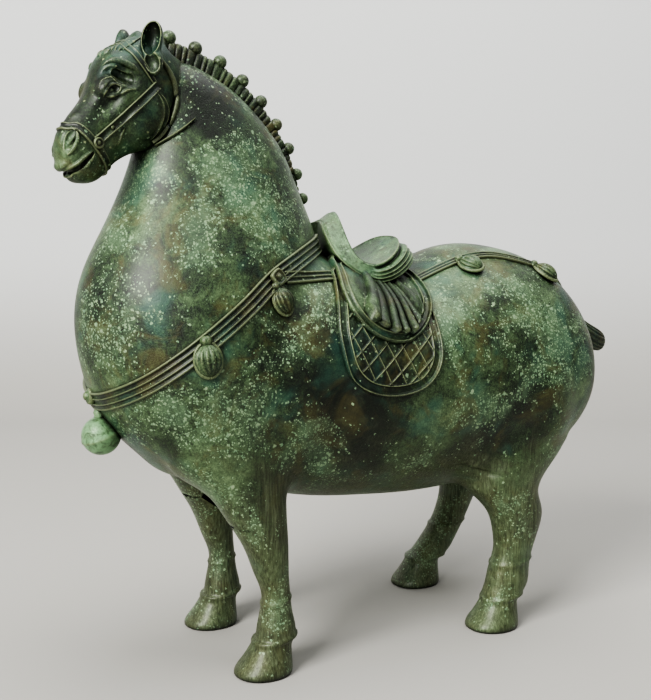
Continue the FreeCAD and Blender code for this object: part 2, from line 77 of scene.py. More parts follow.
class Grid:
    """A block of sample points, step millimetres apart."""

    def __init__(self, low, high, step):
        self.step = step
        self.low = np.asarray(low, float)
        count = np.ceil((np.asarray(high, float) - self.low) / step).astype(int) + 1
        self.count = tuple(int(n) for n in count)
        axes = [(self.low[i] + step * np.arange(count[i])).astype(np.float32) for i in range(3)]
        self.x = axes[0][:, None, None]
        self.y = axes[1][None, :, None]
        self.z = axes[2][None, None, :]

    def solid(self, points, triangles, band):
        """Signed distance to a closed mesh, true within band millimetres of its surface."""
        reach = band / self.step
        level = vdb.FloatGrid.createLevelSetFromPolygons(
            ((points - self.low) / self.step).astype(np.float32), triangles=triangles.astype(np.uint32),
            transform=vdb.createLinearTransform(1.0), halfWidth=reach)
        field = np.full(self.count, reach, np.float32)
        level.copyToArray(field)
        return field * self.step

    def surface(self, field):
        """Points in millimetres and quads of the zero surface, facing outwards."""
        volume = vdb.FloatGrid(float(field.max()))
        volume.copyFromArray(np.ascontiguousarray(field))
        points, quads = volume.convertToQuads()
        return points.astype(float) * self.step + self.low, quads.astype(np.int64)

    def ellipsoid(self, centre, radii, axes=None):
        """Signed distance, near enough, to an ellipsoid with its own axes."""
        offsets = [self.x - centre[0], self.y - centre[1], self.z - centre[2]]
        if axes is not None:
            offsets = [offsets[0] * a[0] + offsets[1] * a[1] + offsets[2] * a[2] for a in axes]
        near = sum((o / r) ** 2 for o, r in zip(offsets, radii)) ** 0.5
        steep = sum((o / r ** 2) ** 2 for o, r in zip(offsets, radii)) ** 0.5
        return (near * (near - 1) / np.maximum(steep, 1e-6)).astype(np.float32)

    def capsule(self, start, end, start_radius, end_radius=None):
        """Signed distance to a round-ended bar from start to end."""
        end_radius = start_radius if end_radius is None else end_radius
        start, end = np.asarray(start, float), np.asarray(end, float)
        run = end - start
        dx, dy, dz = self.x - start[0], self.y - start[1], self.z - start[2]
        share = np.clip((dx * run[0] + dy * run[1] + dz * run[2]) / (run @ run), 0, 1)
        gap = np.sqrt((dx - share * run[0]) ** 2 + (dy - share * run[1]) ** 2 + (dz - share * run[2]) ** 2)
        return (gap - (start_radius + (end_radius - start_radius) * share)).astype(np.float32)


def join(a, b, soft):
    """Union of two fields with a fillet about soft millimetres wide."""
    share = np.clip(0.5 + 0.5 * (b - a) / soft, 0, 1)
    return b + (a - b) * share - soft * share * (1 - share)


def carve(a, b, soft):
    """Field a less field b, with a softened edge."""
    return -join(-a, b, soft)


def blurred(field, sigma):
    """The field under a Gaussian of sigma samples."""
    reach = int(3 * sigma)
    kernel = np.exp(-0.5 * (np.arange(-reach, reach + 1) / sigma) ** 2)
    kernel /= kernel.sum()
    for axis in range(3):
        padded = np.pad(field, [(reach, reach) if a == axis else (0, 0) for a in range(3)], mode="edge")
        total = np.zeros_like(field)
        for i, weight in enumerate(kernel):
            total += np.float32(weight) * np.take(padded, range(i, i + field.shape[axis]), axis)
        field = total
    return field


def node_mesh(*names):
    """Points in millimetres and triangles of some CAD nodes."""
    points, triangles, count = [], [], 0
    for name in names:
        mesh = NODES[name].data
        mesh.calc_loop_triangles()
        co = np.empty(len(mesh.vertices) * 3)
        mesh.vertices.foreach_get("co", co)
        tri = np.empty(len(mesh.loop_triangles) * 3, int)
        mesh.loop_triangles.foreach_get("vertices", tri)
        points.append(co.reshape(-1, 3) / MM)
        triangles.append(tri.reshape(-1, 3) + count)
        count += len(mesh.vertices)
    return np.vstack(points), np.vstack(triangles)


def main_part(points, faces):
    """The largest connected part of a mesh, which drops the inside walls of closed hollows."""
    label = np.arange(len(points))
    a = faces.ravel()
    b = np.roll(faces, 1, axis=1).ravel()
    while True:
        lowest = np.minimum(label[a], label[b])
        new = label.copy()
        np.minimum.at(new, a, lowest)
        np.minimum.at(new, b, lowest)
        new = new[new]
        if (new == label).all():
            break
        label = new
    keep = label[faces[:, 0]] == np.bincount(label[faces[:, 0]]).argmax()
    faces = faces[keep]
    used = np.zeros(len(points), bool)
    used[faces] = True
    return points[used], (np.cumsum(used) - 1)[faces]


def as_triangles(quads):
    return np.vstack([quads[:, [0, 1, 2]], quads[:, [0, 2, 3]]])


# ---- meshes --------------------------------------------------------------------------------------


def new_piece(name, points, faces, node_names, slot, material, smooth=True):
    """A mesh piece made of points in millimetres, which stands for some CAD nodes."""
    mesh = bpy.data.meshes.new(name)
    mesh.from_pydata((np.asarray(points) * MM).tolist(), [], [list(f) for f in faces])
    mesh.update()
    return finish_piece(name, mesh, node_names, slot, material, smooth)


def finish_piece(name, mesh, node_names, slot, material, smooth=True):
    mesh.polygons.foreach_set("use_smooth", [smooth] * len(mesh.polygons))
    piece = bpy.data.objects.new(name, mesh)
    bpy.context.scene.collection.objects.link(piece)
    mesh.materials.append(material)
    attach(piece, "root")
    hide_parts(*node_names)
    return piece


# ---- the skin of the horse -----------------------------------------------------------------------
SKIN_STEP = 1.38            # spacing of the samples for the body
BLEND_BAND = 18.0           # how far from a surface its distance is known
LEG_FILLET = 15.0


# Relief on each side of the body: lines (x, y, z), radius, softness and how far the line lies off the skin
HOLLOWS = [
    # behind the shoulder
    ([(68, -40, 200), (64, -45, 172), (58, -50, 146), (50, -52, 122)], 15.0, 7.0, 11.4),
    # before the stifle
    ([(66, 84, 128), (62, 78, 118), (56, 72, 108), (48, 68, 100)], 8.0, 4.0, 6.0),
    # folds there
    ([(60, 40, 121), (60, 52, 116), (60, 62, 114), (60, 72, 113), (63, 84, 111)], 1.9, 0.8, 0.3),
    ([(60, 72, 112), (60, 78, 104), (57, 84, 95), (55, 89, 85)], 1.8, 0.8, 0.4),
]
SWELLS = [
    ([(50, -104, 200), (58, -98, 178), (58, -94, 156)], 16.0, 10.0, -13.4),                  # shoulder
    ([(66, 112, 182), (66, 120, 160), (60, 124, 138)], 16.0, 10.0, -13.4),                   # haunch
]
CORONETS = ((22.0, 1.5), (46.0, 1.1))       # height of a ring round every leg, and the radius of its bead


def filled(field, step):
    """A hollow casting's field with its inside filled: every row across the horse is solid between its two
    walls."""
    metal = field < 0
    inside = np.maximum.accumulate(metal, axis=0) & np.maximum.accumulate(metal[::-1], axis=0)[::-1]
    deep = inside.copy()
    for axis in range(3):
        for shift in (-1, 1):
            deep &= np.roll(inside, shift, axis)
    return np.where(deep, np.minimum(field, -step), field)


def torso_field(grid):
    points, triangles = node_mesh("body_shell", "neck_shell", "belly_plug")
    walls = grid.solid(points, triangles, 4)
    points, quads = main_part(*grid.surface(filled(walls, grid.step)))
    return grid.solid(points, as_triangles(quads), BLEND_BAND)


def smoothed_seam(grid, field):
    """Softens the crease where the neck joins the barrel, and leaves the rest as it is."""
    soft = blurred(field, 4.0)
    seam_y = -58 + 0.42 * (200 - grid.z)
    weight = np.exp(-((grid.y - seam_y) / 30.0) ** 2).astype(np.float32)
    return field + (soft - field) * weight


def skin_field(grid):
    """Barrel and neck with the legs run into them, shoulders and haunches."""
    skin = smoothed_seam(grid, torso_field(grid))
    for node in ("near_fore_leg", "off_fore_leg", "near_hind_leg", "off_hind_leg"):
        leg = grid.solid(*node_mesh(node), BLEND_BAND)
        skin = join(skin, leg, LEG_FILLET)
    for line, radius, soft, lift in HOLLOWS:
        for side in (1, -1):
            path = [(side * x, y + SHIFT, z) for x, y, z in line]
            stroke(grid, skin, path, radius, soft, lift, cut=True)
    for line, radius, soft, lift in SWELLS:
        for side in (1, -1):
            path = [(side * x, y + SHIFT, z) for x, y, z in line]
            stroke(grid, skin, path, radius, soft, lift)
    return leg_rings(grid, skin)


def leg_rings(grid, skin):
    """A bead round every leg at the top of the hoof, and a fainter one at the fetlock."""
    for height, bead in CORONETS:
        level = int(round((height - grid.low[2]) / grid.step))
        inside = skin[:, :, level] < 0
        x, y = np.broadcast_to(grid.x[:, :, 0], inside.shape), np.broadcast_to(grid.y[:, :, 0], inside.shape)
        for side in (1, -1):
            for end in (1, -1):
                mine = inside & (x * side > 0) & ((y - SHIFT) * end > 0)
                middle = np.array([x[mine].mean(), y[mine].mean()])
                reach = math.sqrt(mine.sum() / math.pi) * grid.step
                ring = [(middle[0] + reach * math.cos(a), middle[1] + reach * math.sin(a),
                         height + 2.5 * math.sin(a)) for a in np.linspace(0, 2 * math.pi, 17)]
                stroke(grid, skin, ring, bead, 0.9, 0.0, ends=(1, 1))
    return skin


# ---- materials -----------------------------------------------------------------------------------


class Nodes:
    """Short ways to add and link shader nodes in one material."""

    def __init__(self, name):
        self.material = bpy.data.materials.new(name)
        self.material.use_nodes = True
        self.tree = self.material.node_tree
        self.tree.nodes.clear()

    def add(self, kind, inputs=None, **settings):
        node = self.tree.nodes.new(kind)
        for key, value in settings.items():
            setattr(node, key, value)
        for key, value in (inputs or {}).items():
            if isinstance(value, bpy.types.NodeSocket):
                self.tree.links.new(value, node.inputs[key])
            else:
                node.inputs[key].default_value = value
        return node

    def math(self, operation, a, b=0.0, c=0.0, clamp=False):
        node = self.add("ShaderNodeMath", {0: a, 1: b, 2: c}, operation=operation, use_clamp=clamp)
        return node.outputs[0]

    def place(self, scale=(1, 1, 1), turn=(0, 0, 0), shift=(0, 0, 0)):
        """Position in the row's frame, in millimetres, stretched, turned and shifted."""
        at = self.add("ShaderNodeTexCoord").outputs["Object"]
        size = [s / MM for s in scale]
        return self.add("ShaderNodeMapping", {"Vector": at, "Scale": size, "Rotation": turn,
                                              "Location": shift}).outputs[0]

    def mirrored(self):
        """Position in the row's frame in millimetres, with the off side laid over the near one."""
        parts = self.add("ShaderNodeSeparateXYZ", {"Vector": self.place()}).outputs
        inputs = {0: self.math("ABSOLUTE", parts[0]), 1: parts[1], 2: parts[2]}
        return self.add("ShaderNodeCombineXYZ", inputs).outputs[0]

    def noise(self, size, detail=3.0, rough=0.55, warp=0.0, scale=(1, 1, 1), shift=(0, 0, 0)):
        """Noise whose features are about size millimetres across."""
        node = self.add("ShaderNodeTexNoise", {"Vector": self.place(scale, shift=shift), "Scale": 1 / size,
                                               "Detail": detail, "Roughness": rough, "Distortion": warp})
        return node.outputs["Fac"]

    def ramp(self, value, low, high, start=0.0, end=1.0):
        """Value mapped smoothly from low..high to start..end."""
        node = self.add("ShaderNodeMapRange", {"Value": value, "From Min": low, "From Max": high,
                                               "To Min": start,
                                               "To Max": end}, interpolation_type="SMOOTHSTEP")
        return node.outputs[0]

    def ladder(self, value, steps):
        """A colour picked from (position, colour) steps."""
        node = self.add("ShaderNodeValToRGB", {"Fac": value})
        bar = node.color_ramp.elements
        bar.remove(bar[1])
        bar[0].position, bar[0].color = steps[0][0], (*steps[0][1], 1)
        for position, colour in steps[1:]:
            bar.new(position).color = (*colour, 1)
        return node.outputs[0]

    def mix(self, share, a, b, blend="MIX"):
        node = self.add("ShaderNodeMix", data_type="RGBA", blend_type=blend)
        for key, value in ((0, share), (6, a), (7, b)):
            if isinstance(value, bpy.types.NodeSocket):
                self.tree.links.new(value, node.inputs[key])
            else:
                node.inputs[key].default_value = value if key == 0 else (*value, 1.0)
        return node.outputs[2]


def speckles(n, size, share, radius, shift, ragged):
    """A mask of pale flecks about size millimetres apart; share is how many of the cells hold one, and
    ragged is
    noise that makes their edges uneven."""
    wander = n.add("ShaderNodeTexNoise", {"Vector": n.place(shift=shift), "Scale": 1.6 / size, "Detail": 2.0})
    nudge = n.add("ShaderNodeVectorMath", {0: wander.outputs["Color"]}, operation="SCALE")
    nudge.inputs["Scale"].default_value = 0.8 * size
    at = n.add("ShaderNodeVectorMath", {0: n.place(shift=shift), 1: nudge.outputs[0]}, operation="ADD")
    cells = n.add("ShaderNodeTexVoronoi", {"Vector": at.outputs[0], "Scale": 1 / size, "Randomness": 1.0})
    pick = n.add("ShaderNodeSeparateColor", {"Color": cells.outputs["Color"]})
    reach = n.math("MULTIPLY_ADD", pick.outputs[1], radius, 0.08)
    edge = n.math("SUBTRACT", reach, cells.outputs["Distance"])
    edge = n.math("ADD", edge, n.math("MULTIPLY_ADD", ragged, 0.5, -0.25))
    dot = n.ramp(edge, -0.04, 0.14)
    return n.math("MULTIPLY", dot, n.math("LESS_THAN", pick.outputs[0], share))


# Pools on the horse: painted shade in the first table (behind the jaw, behind the shoulder, on the belly and
# low on the flank), which also holds fewer flecks, and paler, more flecked patina in the second: a near-side
# point, mirrored on the off side, and a radius
SHADE_POOLS = [((30, -108, 352), 34), ((72, -48, 205), 34), ((72, -20, 138), 50), ((60, 60, 120), 46)]
PALE_POOLS = [((42, -98, 300), 48), ((62, -104, 150), 46), ((55, 44, 236), 48)]


def pool(n, points, edge):
    """A mask that is 1 in the middle of every pool and fades unevenly towards its edge."""
    mask = 0.0
    for (x, y, z), radius in points:
        away = n.add("ShaderNodeVectorMath", {0: n.mirrored(), 1: (x, y + SHIFT, z)}, operation="DISTANCE")
        away = n.math("MULTIPLY_ADD", edge, 0.9 * radius, away.outputs["Value"])
        mask = n.math("MAXIMUM", mask, n.ramp(away, 1.55 * radius, 0.75 * radius))
    return mask


def patina(name, tone=0.0, speck=1.0, olive=0.5, teal=0.5, rub=0.5, pale=0.0, recess_shade=1.0, reach=5.0,
           body=False):
    """Waxed green patina on bronze: near-black, green, teal and olive clouds, mint flecks, painted shade that
    darkens its recesses towards near black over reach millimetres, and rubbed edges. tone makes it lighter;
    with body it has pools of painted shade and paler, more flecked pools, and its lower part is brushed
    downwards in olive."""
    n = Nodes(name)
    clouds = n.noise(30, 4.0, 0.62, 0.6)
    fine = n.noise(6, 5.0, 0.72, 0.9, shift=(31, 7, 19))
    grain = n.noise(1.15, 3.0, 0.8, shift=(5, 3, 8))
    depth = n.math("MULTIPLY_ADD", clouds, 0.42, n.math("MULTIPLY", fine, 0.42))
    depth = n.math("ADD", n.math("MULTIPLY_ADD", grain, 0.42, depth), tone - 0.13)
    broad = n.ramp(n.noise(62, 2.0, 0.5, 0.3, shift=(12, 140, 33)), 0.36, 0.62, -0.10, 0.05)
    depth = n.math("ADD", depth, broad)
    if body:
        # Painted shade: the first pools darken the patina where shade falls; the second make it a little
        # paler.
        painted_shade, light = pool(n, SHADE_POOLS, clouds), pool(n, PALE_POOLS, clouds)
        depth = n.math("ADD", depth, n.math("MULTIPLY_ADD", painted_shade, -0.06, n.math("MULTIPLY", light, 0.045)))
    base = n.ladder(depth, [(0.34, (0.004, 0.008, 0.003)), (0.44, (0.016, 0.031, 0.012)),
                            (0.53, (0.050, 0.088, 0.036)),
                            (0.62, (0.105, 0.165, 0.078)), (0.74, (0.22, 0.31, 0.16))])
    cool = n.ramp(n.noise(36, 3.0, 0.6, 0.5, shift=(90, 40, 10)), 0.50, 0.68, 0.0, teal)
    base = n.mix(cool, base, n.mix(depth, (0.004, 0.030, 0.022), (0.060, 0.200, 0.140)))
    warm = n.ramp(n.noise(30, 4.0, 0.65, 0.7, shift=(-50, 20, 70)), 0.50, 0.66, 0.0, olive)
    base = n.mix(warm, base, n.mix(depth, (0.020, 0.016, 0.003), (0.190, 0.170, 0.050)))
    if body:
        height = n.add("ShaderNodeSeparateXYZ", {"Vector": n.place()}).outputs[2]
        low = n.ramp(n.math("MULTIPLY_ADD", clouds, 120.0, height), 215, 150)
        brush = n.noise(1.3, 4.0, 0.75, 0.3, scale=(1, 1, 0.07), shift=(3, 9, 1))
        lines = n.ladder(brush, [(0.34, (0.034, 0.038, 0.015)), (0.46, (0.085, 0.100, 0.044)),
                                 (0.56, (0.145, 0.175, 0.088)), (0.70, (0.24, 0.29, 0.17))])
        base = n.mix(n.math("MULTIPLY", low, 0.60), base, lines)
    drifts = n.noise(40, 4.0, 0.60, 0.6, shift=(17, -33, 52))
    if body:
        # The pools of painted shade also hold fewer flecks, and the paler pools more.
        drifts = n.math("ADD", drifts, n.math("MULTIPLY_ADD", painted_shade, -0.06, n.math("MULTIPLY", light, 0.07)))
    crowd = n.ramp(drifts, 0.45, 0.62, 0.03 * speck, 1.0 * speck)
    flecks = n.math("MAXIMUM", speckles(n, 2.1, crowd, 0.42, (0, 0, 0), grain),
                    speckles(n, 1.35, crowd, 0.40, (8, 66, 21), grain))
    sparse = n.ramp(drifts, 0.42, 0.60, 0.02 * speck, 0.20 * speck)
    flecks = n.math("MAXIMUM", flecks, speckles(n, 4.4, sparse, 0.34, (40, 9, 2), grain))
    mint = n.mix(n.ramp(fine, 0.35, 0.65), (0.22, 0.38, 0.22), (0.40, 0.50, 0.31))
    base = n.mix(n.math("MULTIPLY", flecks, 0.75), base, mint)
    haze = n.ramp(n.math("ADD", drifts, n.math("MULTIPLY", fine, 0.35)), 0.66, 0.92, 0.0, 0.45 * speck)
    base = n.mix(haze, base, (0.155, 0.260, 0.145))
    if pale:
        base = n.mix(n.ramp(fine, 0.34, 0.60, 0.15 * pale, pale), base, (0.215, 0.385, 0.200))
    bend = n.add("ShaderNodeNewGeometry").outputs["Pointiness"]
    ridge = n.ramp(n.math("ADD", bend, n.math("MULTIPLY_ADD", grain, 0.08, -0.04)), 0.508, 0.575, 0.0, rub)
    base = n.mix(ridge, base, (0.235, 0.275, 0.145))
    # Painted shade: the recesses that ambient occlusion finds are darkened towards near black.
    hollow = n.add("ShaderNodeAmbientOcclusion", {"Distance": reach * MM}, samples=8).outputs["AO"]
    recess_shade_mask = n.ramp(hollow, 0.25, 0.90, 0.96 * recess_shade, 0.0)
    base = n.mix(recess_shade_mask, base, (0.005, 0.007, 0.003))
    rough = n.math("ADD", n.ramp(fine, 0.3, 0.7, 0.38, 0.56), n.math("MULTIPLY", flecks, 0.15), clamp=True)
    height = n.math("MULTIPLY_ADD", flecks, 0.30, n.math("MULTIPLY", grain, 0.9))
    height = n.math("MULTIPLY_ADD", fine, 0.8, height)
    bump = n.add("ShaderNodeBump", {"Height": height, "Strength": 0.7, "Distance": 0.60 * MM})
    surface = {"Base Color": base, "Roughness": rough, "Normal": bump.outputs[0], "Metallic": 0.30,
               "Specular IOR Level": 0.5, "Coat Weight": 0.30, "Coat Roughness": 0.30}
    shader = n.add("ShaderNodeBsdfPrincipled", surface)
    out = n.add("ShaderNodeOutputMaterial")
    n.tree.links.new(shader.outputs[0], out.inputs[0])
    return n.material


def plain_stage(name, low, high):
    """A plain matt stage, a little darker on the floor than behind."""
    n = Nodes(name)
    height = n.add("ShaderNodeSeparateXYZ", {"Vector": n.place()}).outputs[2]
    tone = n.mix(n.ramp(height, 0.0, 320.0), low, high)
    shader = n.add("ShaderNodeBsdfPrincipled", {"Base Color": tone, "Roughness": 0.85,
                                                "Specular IOR Level": 0.2})
    out = n.add("ShaderNodeOutputMaterial")
    n.tree.links.new(shader.outputs[0], out.inputs[0])
    return n.material


# ---- cutting the skin into its castings ----------------------------------------------------------
# The CAD's sections are written about a point midway between the hooves; SHIFT is where that point lies.
PIN_FRONT = -96.0
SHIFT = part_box("leg_pins")[0].y / MM - PIN_FRONT
# Castings cut from the skin: nodes, a point of the cut (y, z), the cut's direction (y, z), sides and Y range
CUTS = [
    ("neck_shell", (-31, 262), (-0.93, 0.37), (-1e3, 1e3), (-1e3, 1e3)),
    ("near_fore_leg", (0, 96), (0, -1), (15, 1e3), (-1e3, -50)),
    ("off_fore_leg", (0, 96), (0, -1), (-1e3, -15), (-1e3, -50)),
    ("near_hind_leg", (0, 90), (0, -1), (15, 1e3), (30, 1e3)),
    ("off_hind_leg", (0, 90), (0, -1), (-1e3, -15), (30, 1e3)),
]


def sampled(grid, field, points):
    """The field at any points, between its samples."""
    at = (points - grid.low) / grid.step
    base = np.clip(np.floor(at).astype(int), 0, np.array(grid.count) - 2)
    part = at - base
    total = np.zeros(len(points))
    for corner in np.ndindex(2, 2, 2):
        weight = np.prod(np.where(corner, part, 1 - part), axis=1)
        i, j, k = (base + corner).T
        total += weight * field[i, j, k]
    return total


def slopes(grid, field, points):
    """Unit directions in which the field rises at the points."""
    steps = np.eye(3) * grid.step
    rise = np.stack([sampled(grid, field, points + s) - sampled(grid, field, points - s) for s in steps],
                    axis=1)
    return rise / np.maximum(np.linalg.norm(rise, axis=1), 1e-9)[:, None]


def settled(grid, field, points, rounds=2):
    """The points moved onto the field's surface."""
    for _ in range(rounds):
        points = points - slopes(grid, field, points) * sampled(grid, field, points)[:, None]
    return points


def field_piece(name, grid, field, points, faces, node_names, slot, material):
    """A closed, capped piece of a field's surface, shaded by the field's own slope so that no cut shows."""
    mesh = bpy.data.meshes.new(name)
    mesh.from_pydata((points * MM).tolist(), [], faces.tolist())
    shape = bmesh.new()
    shape.from_mesh(mesh)
    rim = [e for e in shape.edges if e.is_boundary]
    bmesh.ops.holes_fill(shape, edges=rim, sides=0)
    bmesh.ops.triangulate(shape, faces=[f for f in shape.faces if len(f.verts) > 4])
    shape.to_mesh(mesh)
    shape.free()
    mesh.update()
    piece = finish_piece(name, mesh, node_names, slot, material)
    mesh.normals_split_custom_set_from_vertices(slopes(grid, field, points).tolist())
    return piece


def cut_skin(grid, field, points, quads):
    """Shares the skin's faces out to its castings and straightens the cuts between them."""
    middle = points[quads].mean(axis=1)
    owner = np.zeros(len(quads), int)
    points = points.copy()
    for number, (_, place, way, side, along) in enumerate(CUTS, 1):
        gap = (middle[:, 1] - place[0] - SHIFT) * way[0] + (middle[:, 2] - place[1]) * way[1]
        mine = (gap > 0) & (middle[:, 0] > side[0]) & (middle[:, 0] < side[1])
        mine &= (middle[:, 1] - SHIFT > along[0]) & (middle[:, 1] - SHIFT < along[1])
        owner[mine] = number
    for number, (_, place, way, _, _) in enumerate(CUTS, 1):
        mine = np.zeros(len(points), bool)
        other = np.zeros(len(points), bool)
        mine[quads[owner == number]] = True
        other[quads[owner != number]] = True
        rim = np.nonzero(mine & other)[0]
        way = np.array([0.0, *way])
        for _ in range(3):
            points[rim] -= ((points[rim] - [0, place[0] + SHIFT, place[1]]) @ way)[:, None] * way
            points[rim] = settled(grid, field, points[rim], 1)
    return points, owner


def horse_castings(materials):
    low, high = (np.array(c) / MM for c in CAD_BOX)
    grid = Grid(low - 6, high + 6, SKIN_STEP)
    field = skin_field(grid)
    points, quads = main_part(*grid.surface(field))
    points[:, 2] = np.maximum(points[:, 2], 0)
    points, owner = cut_skin(grid, field, points, quads)
    names = ["body_shell"] + [cut[0] for cut in CUTS]
    for number, name in enumerate(names):
        faces = quads[owner == number]
        used = np.zeros(len(points), bool)
        used[faces] = True
        nodes = [name, "belly_plug"] if number == 0 else [name]
        field_piece(name + "_skin", grid, field, points[used], (np.cumsum(used) - 1)[faces], nodes,
                    "patina_horse",
                    materials["horse"])
    return grid, field


# ---- strokes and ribbons on a surface ------------------------------------------------------------


def spline(line, step):
    """A smooth path through the control points, sampled about every step millimetres."""
    line = np.asarray(line, float)
    ends = np.vstack([2 * line[0] - line[1], line, 2 * line[-1] - line[-2]])
    path = []
    for a, b, c, d in zip(ends, ends[1:], ends[2:], ends[3:]):
        count = max(2, int(np.linalg.norm(c[:3] - b[:3]) / step))
        t = (np.arange(count) / count)[:, None]
        path.append(0.5 * (2 * b + (c - a) * t + (2 * a - 5 * b + 4 * c - d) * t ** 2
                           + (3 * b - a - 3 * c + d) * t ** 3))
    return np.vstack(path + [line[-1:]])


def tapered(count, start=0.25, end=0.25, share=0.25):
    """A width along a stroke that swells from its start and dies away at its end."""
    t = np.linspace(0, 1, count)
    rise = np.minimum(1, start + (1 - start) * t / share)
    fall = np.minimum(1, end + (1 - end) * (1 - t) / share)
    return np.minimum(rise, fall)


def stroke(grid, field, line, radius, soft=0.6, lift=0.0, cut=False, ends=(0.3, 0.3), surface=None):
    """Adds a raised ridge along a line drawn on the surface, or cuts a groove there."""
    surface = field if surface is None else surface
    path = settled(grid, surface, spline(line, 2.0 * grid.step), 3)
    path += slopes(grid, surface, path) * lift
    radii = radius * tapered(len(path), *ends)
    margin = radius + 3 * soft + 2 * grid.step
    low = np.floor((path.min(0) - margin - grid.low) / grid.step).astype(int).clip(0)
    high = (np.ceil((path.max(0) + margin - grid.low) / grid.step).astype(int) + 1).clip(None, grid.count)
    box = tuple(slice(a, b) for a, b in zip(low, high))
    x, y, z = grid.x[box[0]], grid.y[:, box[1]], grid.z[:, :, box[2]]
    rod = np.full([s.stop - s.start for s in box], 1e3, np.float32)
    for a, b, ra, rb in zip(path, path[1:], radii, radii[1:]):
        run = b - a
        share = ((x - a[0]) * run[0] + (y - a[1]) * run[1] + (z - a[2]) * run[2]) / (run @ run)
        share = np.clip(share, 0, 1).astype(np.float32)
        offsets = [x - a[0] - share * run[0], y - a[1] - share * run[1], z - a[2] - share * run[2]]
        gap = sum(o ** 2 for o in offsets)
        rod = np.minimum(rod, np.sqrt(gap) - (ra + (rb - ra) * share))
    field[box] = carve(field[box], rod, soft) if cut else join(field[box], rod, soft)


def ribbon(grid, field, line, width, profile, taper=None, step=1.2):
    """A strap laid along a line on the surface. The profile is a closed run of (place across, height) pairs,
    places from -1 to 1; negative heights are sunk in the surface."""
    path = settled(grid, field, spline(line, step), 3)
    way = np.gradient(path, axis=0)
    way /= np.linalg.norm(way, axis=1)[:, None]
    side = np.cross(way, slopes(grid, field, path))
    side /= np.linalg.norm(side, axis=1)[:, None]
    wide = width / 2 * (np.ones(len(path)) if taper is None else taper(len(path)))
    rings = []
    for across, height in profile:
        ring = settled(grid, field, path + side * (across * wide)[:, None], 2)
        rings.append(ring + slopes(grid, field, ring) * height)
    return tube(np.stack(rings, axis=1))


def tube(rings):
    """Points and faces of a closed skin over rings of points, each ring with the same number of points."""
    rows, count = rings.shape[:2]
    points = rings.reshape(-1, 3)
    faces = lattice(rows, count, True)
    faces.append(tuple(range(count))[::-1])
    faces.append(tuple((rows - 1) * count + j for j in range(count)))
    return points, outward(points, faces)


def lattice(rows, count, closed):
    """Quads between the points of a grid of rows; closed joins the end of each row to its start."""
    faces = []
    for i in range(rows - 1):
        for j in range(count if closed else count - 1):
            k = (j + 1) % count
            faces.append((i * count + j, i * count + k, (i + 1) * count + k, (i + 1) * count + j))
    return faces


def merged(parts):
    """One mesh's points and faces out of several."""
    points, faces, count = [], [], 0
    for part_points, part_faces in parts:
        points.append(np.asarray(part_points))
        faces += [tuple(v + count for v in face) for face in part_faces]
        count += len(part_points)
    return np.vstack(points), faces


def flipped(part):
    """The mirror image of a part, for the off side."""
    points, faces = part
    return points * (-1, 1, 1), [face[::-1] for face in faces]


def lathe(profile, axis, across, start, ribs=0, depth=0.0, flat=1.0, twist=0.0, count=48):
    """A turned solid: profile is (along, radius) pairs from start along axis; ribs run lengthwise, and flat
    presses
    it thinner square to across."""
    axis, across = np.asarray(axis, float), np.asarray(across, float)
    axis = axis / np.linalg.norm(axis)
    across = across - axis * (across @ axis)
    across /= np.linalg.norm(across)
    third = np.cross(axis, across)
    rings = []
    angles = 2 * math.pi * np.arange(count) / count
    for along, radius in profile:
        swell = 1 + depth * np.abs(np.cos(ribs * angles / 2 + twist * along)) if ribs else np.ones(count)
        u, v = radius * swell * np.cos(angles), radius * swell * np.sin(angles) * flat
        rings.append(np.asarray(start) + axis * along + u[:, None] * across + v[:, None] * third)
    return tube(np.stack(rings))


def outward(points, faces):
    """The faces of a closed mesh, turned round together if they face inwards."""
    volume = 0.0
    for face in faces:
        corners = points[list(face)]
        volume += np.einsum("ij,ij->", np.cross(corners[0], corners[1:-1]), corners[2:])
    return faces if volume > 0 else [face[::-1] for face in faces]


# ---- head ----------------------------------------------------------------------------------------
# The head's own frame: A runs down the face from the poll, S to the near side, N out of the forehead.
HEAD_STEP = 0.52
FACE_SLOPE, HEAD_TURN = math.radians(45.4), math.radians(15)
POLL = np.array([0, -127.0 + SHIFT, 386.0])
TURN = np.array(Matrix.Rotation(HEAD_TURN, 3, "Z"))
HEAD_AXES = np.array([
    TURN @ (0, -math.cos(FACE_SLOPE), -math.sin(FACE_SLOPE)),
    TURN @ (1, 0, 0),
    TURN @ (0, -math.sin(FACE_SLOPE), math.cos(FACE_SLOPE)),
])

